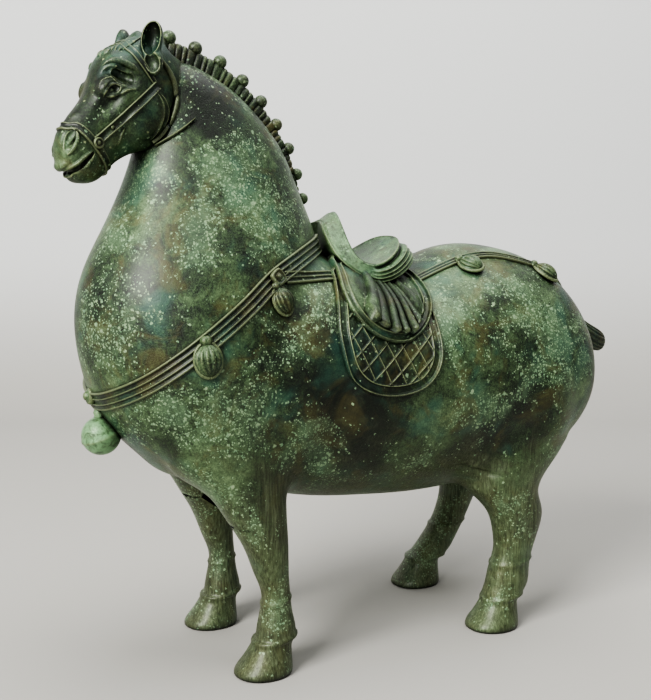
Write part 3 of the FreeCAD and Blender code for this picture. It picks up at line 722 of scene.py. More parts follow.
# Rounded masses: centre, radii and softness, on both sides of the face
HEAD_MASSES = [
    ((53.5, 10.4, 13.9), (8.0, 4.6, 4.6), 2.5),          # orbit
    ((47.0, 13.0, -12.5), (15.0, 9.0, 14.0), 3.0),       # jaw
    ((71.0, 9.0, -8.5), (9.0, 5.6, 6.5), 2.5),           # corner of the cheek
    ((101.4, 0.0, -0.2), (5.4, 7.4, 3.2), 1.4),          # upper lip
    ((99.0, 0.0, -9.6), (6.2, 8.2, 5.6), 1.6),           # lower lip
]
HEAD_HOLLOWS = [
    ((67.0, 19.5, 8.5), (15.0, 8.4, 6.2), 3.0),          # under the ridge of the nose
    ((44.2, 18.6, 15.0), (6.6, 6.4, 6.4), 1.6),          # above the eye
    ((43.0, 22.6, 9.0), (6.0, 6.2, 5.2), 2.0),           # behind the eye
    ((55.3, 17.0, 12.2), (6.0, 3.6, 4.2), 1.0),          # lids
    ((62.0, 0.0, -36.0), (24.0, 6.5, 12.0), 4.0),        # between the jaws
    ((95.0, 11.0, 11.5), (10.0, 5.5, 5.0), 2.0),         # around the nostril
    ((85.0, 8.8, 16.8), (9.0, 6.2, 5.0), 2.0),           # under the noseband
    ((23.0, 15.5, 27.0), (17.0, 9.5, 8.8), 3.0),         # temples
    ((18.0, 0.0, 33.0), (24.0, 14.0, 10.6), 3.0),        # top of the forehead
]


def axes_along(way):
    """Three axes of the head's frame at right angles, the last of them along a direction in the row's
    frame."""
    last = HEAD_AXES @ np.array(way)
    last /= np.linalg.norm(last)
    first = np.cross(last, (1, 0, 0))
    first /= np.linalg.norm(first)
    return first, np.cross(last, first), last


# Hollow behind the ear, where the mane begins: it runs out to the side, and half as much forwards
NAPE = ((-3.1, 12.0, -0.6), (9.75, 9.75, 14.0), axes_along((1.0, -0.5, 0.12)))
EYE = ((54.9, 11.3, 11.0), (3.5, 3.4, 3.3))
PUPIL = ((55.9, 14.5, 12.9), (0.65, 0.65, 0.65))
# Strokes: line, radius, lift
BROW = [(46, 8.5, 23.4), (42.5, 10.4, 22.8), (39.6, 12.8, 20.6), (37.6, 15.6, 16.6), (36.4, 17.8, 11.8),
        (36.2, 18.8, 7)]
NOSTRIL = (93.8, 7.7)               # its middle (a, n)
NOSTRIL_REACH, NOSTRIL_TURN = (7.6, 2.8), math.radians(-21)
MOUTH_CORNER, MOUTH_HALF, MOUTH_LEVEL = 88.0, 12.9, -5.0


def nostril_rim(start, end):
    """Part of the oval round the nostril, between two angles in degrees; zero points towards the muzzle's
    tip."""
    line = []
    for angle in np.radians(np.linspace(start, end, 6)):
        along, across = NOSTRIL_REACH[0] * math.cos(angle), NOSTRIL_REACH[1] * math.sin(angle)
        a = NOSTRIL[0] + along * math.cos(NOSTRIL_TURN) - across * math.sin(NOSTRIL_TURN)
        n = NOSTRIL[1] + along * math.sin(NOSTRIL_TURN) + across * math.cos(NOSTRIL_TURN)
        line.append((a, 9.4 - 0.3 * (a - NOSTRIL[0]) - 0.6 * (n - NOSTRIL[1]), n))
    return line


def mouth_line(reach, open_by):
    """A line round the muzzle from its tip to the corner of the mouth, above or below the mouth's own
    level."""
    turns = np.radians([0, 18, 37, 58, 76, 90])
    return [(MOUTH_CORNER + reach * math.cos(t) ** 0.9, MOUTH_HALF * math.sin(t),
             MOUTH_LEVEL + open_by * (0.35 + 0.65 * math.cos(t) ** 0.4)) for t in turns]


HEAD_RIDGES = [
    (BROW, 1.9, 0.1),
    ([(60.4, 12.0, 12.2), (58.0, 12.2, 14.2), (54.9, 12.9, 15.0), (52.2, 14.8, 13.6), (50.4, 16.8, 10.2)],
     0.85, 0.45),
    ([(60.4, 12.2, 11.8), (58.6, 13.8, 10.0), (55.6, 15.4, 8.9), (52.2, 16.6, 8.6), (50.4, 16.9, 9.8)], 0.75,
     0.45),
    ([(58.0, 11.0, 15.6), (54.7, 11.4, 17.2), (51.5, 12.6, 16.8), (49.4, 14.8, 14.8), (48.6, 16.6, 12.0)],
     0.6, 0.1),
    ([(61.0, 13.0, 9.6), (57.2, 15.2, 8.0), (53.4, 16.9, 7.0), (49.6, 18.4, 6.2), (45.6, 19.4, 3.6)], 0.9,
     0.1),
    ([(47, 12.0, 18.4), (44, 14.6, 16.6), (42.2, 16.4, 13.0)], 0.5, 0.0),
    ([(46, 14.6, 15.6), (44.4, 16.2, 13.0), (43.0, 17.4, 9.8)], 0.5, 0.0),
    (nostril_rim(-175, -15), 1.25, 0.5),
    (nostril_rim(150, 15), 0.9, -0.1),
    (mouth_line(17.5, 2.6), 1.1, 0.3),
    (mouth_line(16.5, -2.8), 1.15, 0.4),
    ([(36.2, 19.5, -4.0), (36.6, 19.9, -9.0), (38.6, 19.7, -14.0), (43.0, 19.6, -18.2), (49.5, 18.5, -21.6),
      (56.3, 15.6, -24.4)], 0.7, 0.25),
    ([(34.6, 19.6, -7.0), (34.8, 19.4, -13.0), (36.8, 19.0, -18.6), (41.2, 18.6, -22.0),
      (46.5, 18.0, -24.0)], 0.6, 0.3),
    ([(64.0, 15.4, -8.0), (69.0, 14.2, -9.6), (74.0, 12.6, -12.0)], 0.8, 0.2),
]
HEAD_GROOVES = [
    ([(87.2, 9.6, 9.2), (90.4, 10.3, 7.2), (94, 9.6, 7.0), (97.6, 7.6, 6.6)], 1.35, 0.2),
    (mouth_line(18.0, 0.0), 1.9, 0.2),
    ([(59.2, 12.9, 12.0), (57.4, 13.0, 13.4), (54.9, 13.6, 14.0), (52.6, 15.4, 12.4), (51.4, 16.6, 10.0)],
     0.35, 0.2),
    ([(50.5, 8.8, 21.5), (46.8, 12.4, 19.2), (44.6, 15.6, 15.6), (43.2, 17.9, 11.2), (43.4, 19.0, 6.5)], 2.9,
     0.9),
    ([(49.8, 12.4, 17.6), (47.6, 15.4, 14.8), (46.4, 17.2, 11.0)], 1.2, 0.2),
]


def head_out(points):
    return POLL + points @ HEAD_AXES


def head_in(points):
    return (points - POLL) @ HEAD_AXES.T


def folded(grid):
    """The same samples with both sides of the head laid over the near one, so that a shape appears on
    both."""
    half = copy.copy(grid)
    half.y = np.abs(grid.y)
    return half


def both_sides(grid, field):
    """The off side of the head made the mirror image of its near side; the samples lie evenly about the
    middle."""
    return np.where(grid.y < 0, field[:, ::-1], field)


def head_field():
    """The sculpted head, and the surface of head and neck together that its straps lie on."""
    wide = math.ceil(30 / HEAD_STEP) * HEAD_STEP
    grid = Grid((-8, -wide, -42), (114, wide, 40), HEAD_STEP)
    points, triangles = node_mesh("head")
    field = grid.solid(head_in(points), triangles, 8)
    half = folded(grid)
    for centre, radii, soft in HEAD_MASSES:
        field = join(field, half.ellipsoid(centre, radii), soft)
    for centre, radii, soft in HEAD_HOLLOWS:
        field = carve(field, half.ellipsoid(centre, radii), soft)
    field = carve(field, half.ellipsoid(*NAPE), 2.0)
    field = join(field, half.ellipsoid(*EYE), 0.3)
    field = carve(field, half.ellipsoid(*PUPIL), 0.4)
    points, triangles = node_mesh("neck_shell")
    neck = grid.solid(head_in(points), triangles, 8)
    for line, radius, lift in HEAD_GROOVES:
        stroke(grid, field, line, radius, 0.5, lift, cut=True)
    for line, radius, lift in HEAD_RIDGES:
        stroke(grid, field, line, radius, 0.5, lift, surface=np.minimum(field, neck))
    return grid, both_sides(grid, field), neck


def head_piece(materials, grid, field):
    points, quads = main_part(*grid.surface(field))
    shades = slopes(grid, field, points) @ HEAD_AXES
    mesh = bpy.data.meshes.new("head_skin")
    mesh.from_pydata((head_out(points) * MM).tolist(), [], quads.tolist())
    finish_piece("head_skin", mesh, ["head"], "patina_horse", materials["head"])
    mesh.normals_split_custom_set_from_vertices(shades.tolist())


# Bridle lines (a, s, n) on the near half of the head; strap profiles are (place across, height) pairs
NOSEBAND = [(87.0, 0, 15), (86.4, 4.6, 13.8), (84.5, 7.4, 12.2), (83.6, 9.8, 8.8), (83.5, 11.7, 2.5),
            (84.0, 12.2, -4), (84.8, 11.4, -12), (85.6, 7.6, -19), (86, 0, -22)]
BROWBAND = [(24 + 9 * turn, 19.3 * math.sin(1.7 * turn),
             23 * math.cos(1.7 * turn)) for turn in np.linspace(0, 1, 7)]
CHEEK_STRAP = [(32.6, 19.4, -4.6), (46.5, 20.3, -3.7), (59, 17.2, -3.4), (70.8, 13.3, -3.3), (78, 12.1, -2.8),
               (82.2, 12.0, -2.2)]
CHEEK_RIVET, BIT_STUD = (69.8, 13.6, -3.0), (82.4, 12.6, -3.4)
THROAT_POWER = 0.77                 # how square the throat cord's bend behind the jaw is


def throat_point(t):
    """A place on the throat cord, from the poll (0) round behind the jaw to the throat (a right angle)."""
    ahead, down = math.cos(t) ** THROAT_POWER, math.sin(t) ** THROAT_POWER
    out = 14.4 + 6.2 * math.cos(t) ** 0.35 - 3.4 * math.cos(t) ** 4
    return (56.5 - 37.5 * ahead, out, 6 - 32.8 * down)


THROAT_CORD = [throat_point(t) for t in np.linspace(0, math.pi / 2 - 0.001, 10)]
LOOSE_CORD = [(56.0, 14.6, -29.2), (51.5, 17.6, -30.4), (45, 21.6, -31.3), (38, 24.6, -32.0),
              (30.5, 26.6, -32.5)]
BAND_PROFILE = [(-1, -1), (-1, 0.5), (-0.85, 0.9), (-0.65, 0.8), (-0.52, 0.3), (0.3, 0.3), (0.45, 0.9),
                (0.7, 1.3),
                (0.92, 1.0), (1, 0.5), (1, -1)]
TWIN_PROFILE = [(-1, -1), (-1, 0.5), (-0.86, 1.0), (-0.66, 0.9), (-0.5, 0.3), (0.5, 0.3), (0.66, 0.9),
                (0.86, 1.0),
                (1, 0.5), (1, -1)]
CHEEK_PROFILE = [(-1, -1), (-1, 1.0), (-0.88, 1.7), (-0.7, 1.6), (-0.56, 0.6), (0.56, 0.6), (0.7, 1.6),
                 (0.88, 1.7),
                 (1, 1.0), (1, -1)]
CORD_PROFILE = [(-1, -0.6), (-0.95, 0.6), (-0.7, 1.5), (-0.3, 2.0), (0.3, 2.0), (0.7, 1.5), (0.95, 0.6),
                (1, -0.6)]


def other_side(line):
    """A line on the head carried over to the off side."""
    return [(a, -s, n) for a, s, n in line]


def brow_width(count):
    """The browband is widest in the middle of the forehead."""
    return 0.45 + 0.55 * np.sin(np.linspace(0.12, math.pi - 0.12, count)) ** 0.7


def cord_width(count):
    return tapered(count, 0.5, 0.7, 0.2)


def loose_width(count):
    return tapered(count, 0.8, 0.3, 0.3)


def bridle_pieces(materials, grid, field, neck):
    both = np.minimum(field, neck)
    tack = materials["tack"]

    def add(name, parts, nodes, slot="patina_tack", material=tack):
        points, faces = merged(parts)
        new_piece(name, head_out(points), faces, nodes, slot, material)

    loop = other_side(NOSEBAND[1:-1])[::-1] + NOSEBAND
    loop = [NOSEBAND[-1]] + loop
    add("noseband_strap", [ribbon(grid, field, loop, 5.2, BAND_PROFILE, step=0.8)], ["noseband"])
    brow = other_side(BROWBAND[1:])[::-1] + BROWBAND
    add("browband_strap", [ribbon(grid, field, brow, 5.0, TWIN_PROFILE, brow_width, 0.8)], ["browband"])
    for name, side in SIDES:
        line = CHEEK_STRAP if side > 0 else other_side(CHEEK_STRAP)
        rivet = np.array(CHEEK_RIVET) * (1, side, 1)
        stud = np.array(BIT_STUD) * (1, side, 1)
        strap = ribbon(grid, field, line, 5.6, CHEEK_PROFILE, step=0.8)
        knob = [(-1.5, 1.3), (0.9, 1.3), (1.5, 1.0), (1.8, 0.4)]
        add(name + "_cheek_strap_relief", [strap, lathe(knob, (0, side, 0), (1, 0, 0), rivet, count=20)],
            [name + "_cheek_strap"])
        ring = [(-1.5, 3.3), (1.2, 3.3), (1.9, 2.9), (2.0, 2.4), (1.6, 1.9), (1.4, 1.6), (2.0, 1.2),
                (2.3, 0.5)]
        add(name + "_bit_stud", [lathe(ring, (0, side, 0), (1, 0, 0), stud, count=32)], [name + "_bit_ring"])
        cord = THROAT_CORD if side > 0 else other_side(THROAT_CORD)
        loose = LOOSE_CORD if side > 0 else other_side(LOOSE_CORD)
        cords = [ribbon(grid, both, cord, 3.2, CORD_PROFILE, cord_width, 0.8),
                 ribbon(grid, both, loose, 1.7, CORD_PROFILE, loose_width, 0.8)]
        add(name + "_throat_cord", cords, [name + "_throatlatch"])


# Ears: an oval cup above a folded leaf, in the head's frame
EAR_STEP = 0.4
EAR_FACE = (0.39, 0.73, 0.56)        # the way that the near ear opens
EAR_CUP, EAR_CUP_AXIS, EAR_CUP_RADII = (14.7, 16.8, 15.0), (-0.90, -0.12, 0.42), (10.8, 6.5, 5.4)
EAR_LEAF_FOOT = (28.8, 20.0, 1.7)


def ear_pieces(materials):
    grid = Grid((-4, 2, -8), (38, 32, 34), EAR_STEP)
    face = np.array(EAR_FACE) / np.linalg.norm(EAR_FACE)
    axis = np.array(EAR_CUP_AXIS) / np.linalg.norm(EAR_CUP_AXIS)
    axis -= face * (face @ axis)
    axis /= np.linalg.norm(axis)
    wide = np.cross(face, axis)
    centre = np.array(EAR_CUP)
    axes = (axis, wide, face)
    ear = grid.ellipsoid(centre, EAR_CUP_RADII, axes)
    foot = np.array(EAR_LEAF_FOOT)
    heart = centre - axis * 6.0
    leaf_axis = (foot - heart) / np.linalg.norm(foot - heart)
    leaf_face = face - leaf_axis * (face @ leaf_axis)
    leaf_face /= np.linalg.norm(leaf_face)
    leaf_axes = (leaf_axis, np.cross(leaf_face, leaf_axis), leaf_face)
    leaf_centre = (heart + foot) / 2 + face * 0.2
    reach = np.linalg.norm(foot - heart) / 2 + 2.0
    ear = join(ear, grid.ellipsoid(leaf_centre, (reach, 6.0, 4.0), leaf_axes), 1.6)
    ear = join(ear, grid.capsule(centre - face * 4 - axis * 3, (21, 13, 4), 4.4, 6.2), 2.5)
    ear = carve(ear, grid.ellipsoid(centre + face * 3.0, (9.8, 5.1, 7.2), axes), 0.7)
    ear = carve(ear, grid.ellipsoid(leaf_centre + face * 4.0 + leaf_axis * 2.0, (reach - 3.0, 4.3, 3.9),
                                    leaf_axes), 0.8)
    points, quads = main_part(*grid.surface(ear))
    for name, side in SIDES:
        shape = (points, quads.tolist()) if side > 0 else (points * (1, -1, 1), quads[:, ::-1].tolist())
        new_piece(name + "_ear_cup", head_out(shape[0]), shape[1], [name + "_ear"], "patina_horse",
                  materials["head"])


# Forelock: a combed relief over the forehead that ends in a small crest at the poll
FORELOCK_PATCH = ((25.0, 0.0, 20.0), (19.0, 10.0, 10.0))
FORELOCK_CREST = ((13.5, 0.0, 17.4), (5.4, 5.2, 3.8))


def forelock_piece(materials, grid, field):
    tuft = np.maximum(field - 0.9, grid.ellipsoid(*FORELOCK_PATCH))
    tuft = join(tuft, grid.ellipsoid(*FORELOCK_CREST), 1.5)
    for lock in range(-5, 6):
        root, end = 0.9 * lock, 1.75 * lock
        line = [(10, root * 0.7, 21), (18, root, 22), (30, 0.5 * (root + end), 22), (41, end, 22)]
        stroke(grid, tuft, line, 0.75, 0.4, 0.15, cut=True, ends=(0.5, 0.8))
    points, quads = main_part(*grid.surface(tuft))
    new_piece("forelock_tuft", head_out(points), quads.tolist(), ["forelock"], "patina_horse",
              materials["head"])


# ---- mane ----------------------------------------------------------------------------------------
CREST = [(-136.5, 381), (-127, 379.6), (-112, 375.5), (-96, 369), (-82, 359.5), (-70, 348.5), (-60, 336),
         (-51.5, 322.5),
         (-45.5, 307.5), (-40, 291)]          # the foot of the mane (y, z), from the poll to the withers
MANE_LOCKS, MANE_BEADS = 33, 9
MANE_HIGH, MANE_LOW = 10.5, 4.2              # its height at the poll and at the withers
MANE_HALF, LOCK_SWELL = 1.9, 2.4             # half thickness between the locks, and how far a lock swells
SAMPLES_PER_LOCK = 12


def crest_points(shares):
    """Points, outward normals and mane heights at shares of the crest's length."""
    path = spline([(0, y + SHIFT, z) for y, z in CREST], 0.5)
    run = np.concatenate([[0], np.cumsum(np.linalg.norm(np.diff(path, axis=0), axis=1))])
    run /= run[-1]
    at = np.stack([np.interp(shares, run, path[:, i]) for i in range(3)], axis=1)
    way = np.stack([np.interp(shares, run, np.gradient(path[:, i], run)) for i in range(3)], axis=1)
    way /= np.linalg.norm(way, axis=1)[:, None]
    high = MANE_HIGH + (MANE_LOW - MANE_HIGH) * np.clip(shares, 0, 1) ** 1.5
    return at, np.cross(way, (-1, 0, 0)), high


def mane_piece(materials):
    """A clipped mane whose locks swell between the grooves and round over at the top."""
    shares = np.linspace(0, 1, MANE_LOCKS * SAMPLES_PER_LOCK + 1)
    at, normal, high = crest_points(shares)
    place = shares * MANE_LOCKS
    drift = 0.12 * np.sin(1.7 * place) + 0.08 * np.sin(4.1 * place + 1)
    across = ((place + drift) % 1) * 2 - 1
    swell = np.sqrt(np.maximum(0, 1 - across ** 2)) ** 0.8
    end = np.minimum(1, np.minimum(shares, 1 - shares) * MANE_LOCKS * 1.2) ** 0.5
    half = (MANE_HALF + LOCK_SWELL * swell) * (0.35 + 0.65 * end) * (1 - 0.22 * shares)
    top = high + 0.9 * swell - 0.5
    rings = []
    for share in np.linspace(0, 1, 25):
        angle = math.pi * share
        wide = math.copysign(abs(math.cos(angle)) ** 0.55, math.cos(angle))
        tall = math.sin(angle) ** 0.75
        flare = 1 + 0.16 * (1 - tall)
        rise = normal * (-4 + (top + 4) * tall)[:, None]
        rings.append(at + rise + (half * wide * flare)[:, None] * (1, 0, 0))
    points, faces = tube(np.stack(rings, axis=1))
    new_piece("mane_locks", points, faces, ["mane"], "patina_horse", materials["mane"])


def bead_pieces(materials):
    shares = 0.062 + 0.91 * np.arange(MANE_BEADS) / (MANE_BEADS - 1)
    at, normal, high = crest_points(shares)
    turns = np.linspace(-0.5 * math.pi, 0.5 * math.pi, 22)
    for i in range(MANE_BEADS):
        radius = 4.5 * (1 - 0.16 * shares[i])
        base = at[i] + normal[i] * (high[i] + 0.45 * radius)
        profile = [(radius * math.sin(t), max(radius * math.cos(t), 0.15)) for t in turns]
        part = lathe(profile, normal[i], (1, 0, 0), base, ribs=5, depth=0.02, twist=0.1 * i, count=36)
        new_piece("bead_%d" % (i + 1), *part, ["mane_bead_%d" % (i + 1)], "patina_trim", materials["trim"])


# ---- straps and tassels --------------------------------------------------------------------------
COLLAR_LINE = [(-174, 176.5), (-160, 187.5), (-142, 201.5), (-122, 217), (-102, 232), (-82, 247), (-60, 258),
               (-34, 268)]
BRANCH_LINE = [(-74.5, 247.6), (-60, 247.4), (-34, 247)]
CRUPPER_LINE = [(24, 33), (50, 32), (90, 33), (125, 35), (150, 30), (166, 21), (178, 11)]    # (y, x)
CLASP = (-81, 247.5)
COLLAR_PROFILE = [(-1, -1.2), (-1, 1.4), (-0.93, 2.1), (-0.80, 2.1), (-0.72, 1.0), (-0.40, 0.9), (-0.34, 1.8),
                  (-0.22, 1.8), (-0.16, 0.9), (0.22, 0.9), (0.28, 1.8), (0.40, 1.8), (0.46, 0.9), (0.72, 1.0),
                  (0.80, 2.0), (0.93, 2.0), (1, 1.3), (1, -1.2)]
STRAP_PROFILE = [(-1, -1.2), (-1, 1.1), (-0.90, 1.8), (-0.68, 1.8), (-0.56, 0.8), (-0.20, 0.8), (-0.10, 1.6),
                 (0.10, 1.6), (0.20, 0.8), (0.56, 0.8), (0.68, 1.8), (0.90, 1.8), (1, 1.1), (1, -1.2)]
# Tassels: y and z or x of the knot, way the bud hangs, size
CHEST_TASSELS = [(-129.5, 213.5, (0, 0.10, -1), 1.12), (-82.5, 243.0, (0, 0.32, -0.95), 1.0)]
RUMP_TASSELS = [(67, 33, (0.75, 0.45, -0.48), 1.0), (128, 36, (0.6, 0.6, -0.55), 1.05)]


def crossing(grid, field, axis):
    """For every column along an axis, where the field's surface is met coming from the high end."""
    field = np.moveaxis(field, axis, 0)
    inside = field < 0
    last = inside.shape[0] - 1 - inside[::-1].argmax(axis=0)
    last = np.minimum(last, inside.shape[0] - 2)
    here = np.take_along_axis(field, last[None], 0)[0]
    after = np.take_along_axis(field, last[None] + 1, 0)[0]
    place = grid.low[axis] + grid.step * (last + here / (here - after))
    return np.where(inside.any(axis=0), place, np.nan)


def looked_up(grid, chart, first, second, u, v):
    """A chart over two of the grid's axes, read between its samples."""
    a = (np.asarray(u, float) - grid.low[first]) / grid.step
    b = (np.asarray(v, float) - grid.low[second]) / grid.step
    i, j = np.floor(a).astype(int), np.floor(b).astype(int)
    a, b = a - i, b - j
    return ((1 - a) * (1 - b) * chart[i, j] + a * (1 - b) * chart[i + 1, j]
            + (1 - a) * b * chart[i, j + 1] + a * b * chart[i + 1, j + 1])


class Skin:
    """The horse's surface, with ways to find points on it."""

    def __init__(self, grid, field):
        self.grid, self.field = grid, field
        self.side_chart = crossing(grid, field, 0)
        self.top_chart = crossing(grid, field, 2)

    def on_side(self, y, z):
        """Points on the near side, from places in the side view about the middle of the hooves."""
        y, z = np.asarray(y, float) + SHIFT, np.asarray(z, float)
        return np.stack([looked_up(self.grid, self.side_chart, 1, 2, y, z), y, z], axis=-1)

    def on_top(self, y, x):
        y, x = np.asarray(y, float) + SHIFT, np.asarray(x, float)
        return np.stack([x, y, looked_up(self.grid, self.top_chart, 0, 1, x, y)], axis=-1)

    def normal(self, points):
        return slopes(self.grid, self.field, np.atleast_2d(points))

    def ribbon(self, line, width, profile, taper=None, step=1.2):
        return ribbon(self.grid, self.field, line, width, profile, taper, step)


def tassel(skin, knot, hang, size):
    """A knot under the strap and a ribbed bud in a raised rim hanging from it."""
    out = skin.normal(knot)[0]
    hang = np.array(hang, float)
    hang = hang - out * (hang @ out)
    hang /= np.linalg.norm(hang)
    knot = knot + out * 1.0 * size
    ball = [(-2.8, 0.4), (-2.3, 1.9), (-1.2, 2.8), (0.2, 3.1), (1.6, 2.6), (2.6, 1.9)]
    bud = [(1.8, 1.7), (3.2, 3.2), (5.2, 4.9), (7.6, 5.9), (10.2, 6.2), (13.0, 5.6), (15.4, 4.2),
           (17.2, 2.4), (18.2, 0.5)]
    across = np.cross(hang, out)

    def sized(rows):
        return [(a * size, r * size) for a, r in spline(rows, 0.4)]

    parts = [lathe(sized(ball), hang, across, knot, ribs=6, depth=0.08, count=36)]
    parts.append(lathe(sized(bud), hang, across, knot + out * 0.6 * size, ribs=13, depth=0.17, flat=0.74,
                       count=104))
    turn = np.linspace(0, 2 * math.pi, 65)[:-1]
    ring = knot + hang * 9.8 * size - out * 0.4 * size + np.outer(np.cos(turn), hang) * 8.8 * size \
        + np.outer(np.sin(turn), across) * 6.6 * size
    closed = np.vstack([ring, ring[:1]])
    parts.append(round_bar(closed, 1.25 * size, out))
    return merged(parts)


def round_bar(path, radius, up, count=12):
    """A round bar along a path; up is never in line with it."""
    way = np.gradient(path, axis=0)
    way[0] = way[-1] = path[1] - path[-2] if np.allclose(path[0], path[-1]) else way[0]
    side = np.cross(way, up)
    side /= np.linalg.norm(side, axis=1)[:, None]
    over = np.cross(side, way)
    over /= np.linalg.norm(over, axis=1)[:, None]
    rings = []
    for angle in 2 * math.pi * np.arange(count) / count:
        rings.append(path + (side * math.cos(angle) + over * math.sin(angle)) * radius)
    return tube(np.stack(rings, axis=1))


def both(name, part, node, slot, material):
    """The same piece on the near and, mirrored, on the off side."""
    new_piece("near_" + name, *part, ["near_" + node], slot, material)
    new_piece("off_" + name, *flipped(part), ["off_" + node], slot, material)


def strap_pieces(materials, skin):
    tack, trim = materials["tack"], materials["trim"]
    chest = settled(skin.grid, skin.field, np.array([[0.0, -185 + SHIFT, 170.0]]), 3)
    line = np.vstack([chest, skin.on_side(*np.transpose(COLLAR_LINE))])
    both("collar_relief", skin.ribbon(line, 11.5, COLLAR_PROFILE), "breast_collar", "patina_tack", tack)
    branch = skin.ribbon(skin.on_side(*np.transpose(BRANCH_LINE)), 8.0, STRAP_PROFILE)
    clasp = skin.on_side(*CLASP)
    out = skin.normal(clasp)[0]
    pad = [(-1.5, 5.8), (3.2, 5.8), (4.0, 5.2), (4.1, 4.3), (3.6, 3.9), (3.7, 2.2), (4.6, 1.6), (4.8, 0.4)]
    square = lathe(pad, out, (0, 0.8, 0.6), clasp, ribs=4, depth=-0.16, count=48)
    both("branch_relief", merged([branch, square]), "collar_branch", "patina_tack", tack)
    crupper = skin.ribbon(skin.on_top(*np.transpose(CRUPPER_LINE)), 7.0, STRAP_PROFILE)
    both("crupper_relief", crupper, "crupper", "patina_tack", tack)
    for i, (y, z, hang, size) in enumerate(CHEST_TASSELS, 1):
        both("chest_tassel_%d_bud" % i, tassel(skin, skin.on_side(y, z), hang, size), "chest_tassel_%d" % i,
             "patina_trim", trim)
    for i, (y, x, hang, size) in enumerate(RUMP_TASSELS, 1):
        both("rump_tassel_%d_bud" % i, tassel(skin, skin.on_top(y, x), hang, size), "rump_tassel_%d" % i,
             "patina_trim", trim)
    boss = chest[0] + (0, 0, 2.5)
    button = [(-3, 5.2), (2.6, 5.2), (3.6, 4.8), (4.2, 3.9), (4.4, 2.9), (5.4, 2.6), (6.2, 1.8), (6.6, 0.4)]
    new_piece("boss_button", *lathe(button, (0, -1, 0.1), (1, 0, 0), boss), ["chest_boss"], "patina_trim",
              trim)
    bell = np.array([0, -173.0 + SHIFT, 151.0])
    turns = np.linspace(-0.5 * math.pi, 0.5 * math.pi, 40)
    shell = [(12.0 * math.sin(t), max(12.0 * math.cos(t),
                                      0.2) + 0.7 * math.exp(-((12 * math.sin(t)) / 1.1) ** 2))
             for t in turns]
    loop = [(9.0, 3.6), (12.6, 3.4), (14.6, 3.8), (16.0, 3.2), (18.5, 2.6)]
    parts = [lathe(shell, (0, -0.35, 1), (1, 0, 0), bell, count=72),
             lathe(loop, (0, -0.05, 1), (1, 0, 0), bell)]
    new_piece("bell_ball", *merged(parts), ["chest_bell"], "patina_trim", materials["bell"])


# ---- saddle --------------------------------------------------------------------------------------
CURVE_STEPS = (0, 22, 44, 66)       # degrees round each lower corner of a cloth


def hanging(middle, level, low, top, front, rear):
    """A cloth's outline in the side view: a rounded bottom below a level, and nearly straight sides up to
    its top.

    Each side is its half width at the level, the power of its curve and how far its top leans in.
    """
    corners = []
    for way, (half, power, lean) in ((-1, front), (1, rear)):
        side = [(middle + way * (half - lean), top),
                (middle + way * (half - 0.4 * lean), 0.5 * (level + top))]
        for angle in np.radians(CURVE_STEPS):
            across, down = math.cos(angle) ** (2 / power), math.sin(angle) ** (2 / power)
            side.append((middle + way * half * across, level - (level - low) * down))
        corners.append(side)
    return corners[0] + [(middle, low)] + corners[1][::-1] + [(0, top + 6)]


QUILT = hanging(-8.0, 214.0, 173.5, 250.0, (37.5, 2.4, 7.5), (36.5, 2.4, -2.5))
FLAP = hanging(-1.5, 238.0, 205.0, 256.0, (35.5, 2.0, 4.0), (35.0, 1.7, -2.5))
QUILT_CENTRE, FLAP_CENTRE = (-7, 212), (0, 232)
# Quilting: a crossing of the lines (y, z), the gap between lines and their two directions in degrees
LATTICE_KNOT, LATTICE_GAP, LATTICE_WAYS = (-2.0, 203.0), 9.2, (-65, 39)
PANEL_LINES = [((15.6, 246), (16.6, 235.0), (22, 224.0)), ((33, 250.4), (27.6, 239), (24.0, 226.5))]
FAN_APEX = (3.0, 275.0)
# Pleats: angle from the apex, half width in degrees, height
PLEATS = [(-25.2, 5.4, 1.55), (-15.4, 3.6, 0.55), (-8.2, 3.2, 1.0), (-1.6, 2.8, 0.8), (4.4, 2.8, 1.05),
          (10.2, 2.4, 0.55),
          (15.6, 3.2, 1.0)]
DRAPE_ENDS = (-31.0, 18.5)          # its first and last angle from the apex
DRAPE_DROP = 67.0                   # apex to hem, straight down
HEM_RISE = (0.0093, 0.040)          # how fast the hem rises to the front and to the rear, per degree squared


def line_distance(y, z, start, end):
    """Distance in the side view from points to a straight piece of line."""
    dy, dz = end[0] - start[0], end[1] - start[1]
    share = np.clip(((y - start[0]) * dy + (z - start[1]) * dz) / (dy * dy + dz * dz), 0, 1)
    return np.hypot(y - start[0] - share * dy, z - start[1] - share * dz)


def run_distance(y, z, line):
    return np.minimum.reduce([line_distance(y, z, a, b) for a, b in zip(line, line[1:])])


def lattice_distance(y, z):
    """Distance in the side view to the nearest quilting line."""
    gaps = []
    for way in np.radians(LATTICE_WAYS):
        across = (z - LATTICE_KNOT[1]) * math.cos(way) - (y - LATTICE_KNOT[0]) * math.sin(way)
        gaps.append(np.abs((across / LATTICE_GAP + 0.5) % 1 - 0.5) * LATTICE_GAP)
    return np.minimum(*gaps)


def bump(distance, width):
    """A rounded ridge of unit height about a line."""
    return np.exp(-(distance / width) ** 2)


def step_up(value, start, end):
    t = np.clip((value - start) / (end - start), 0, 1)
    return t * t * (3 - 2 * t)


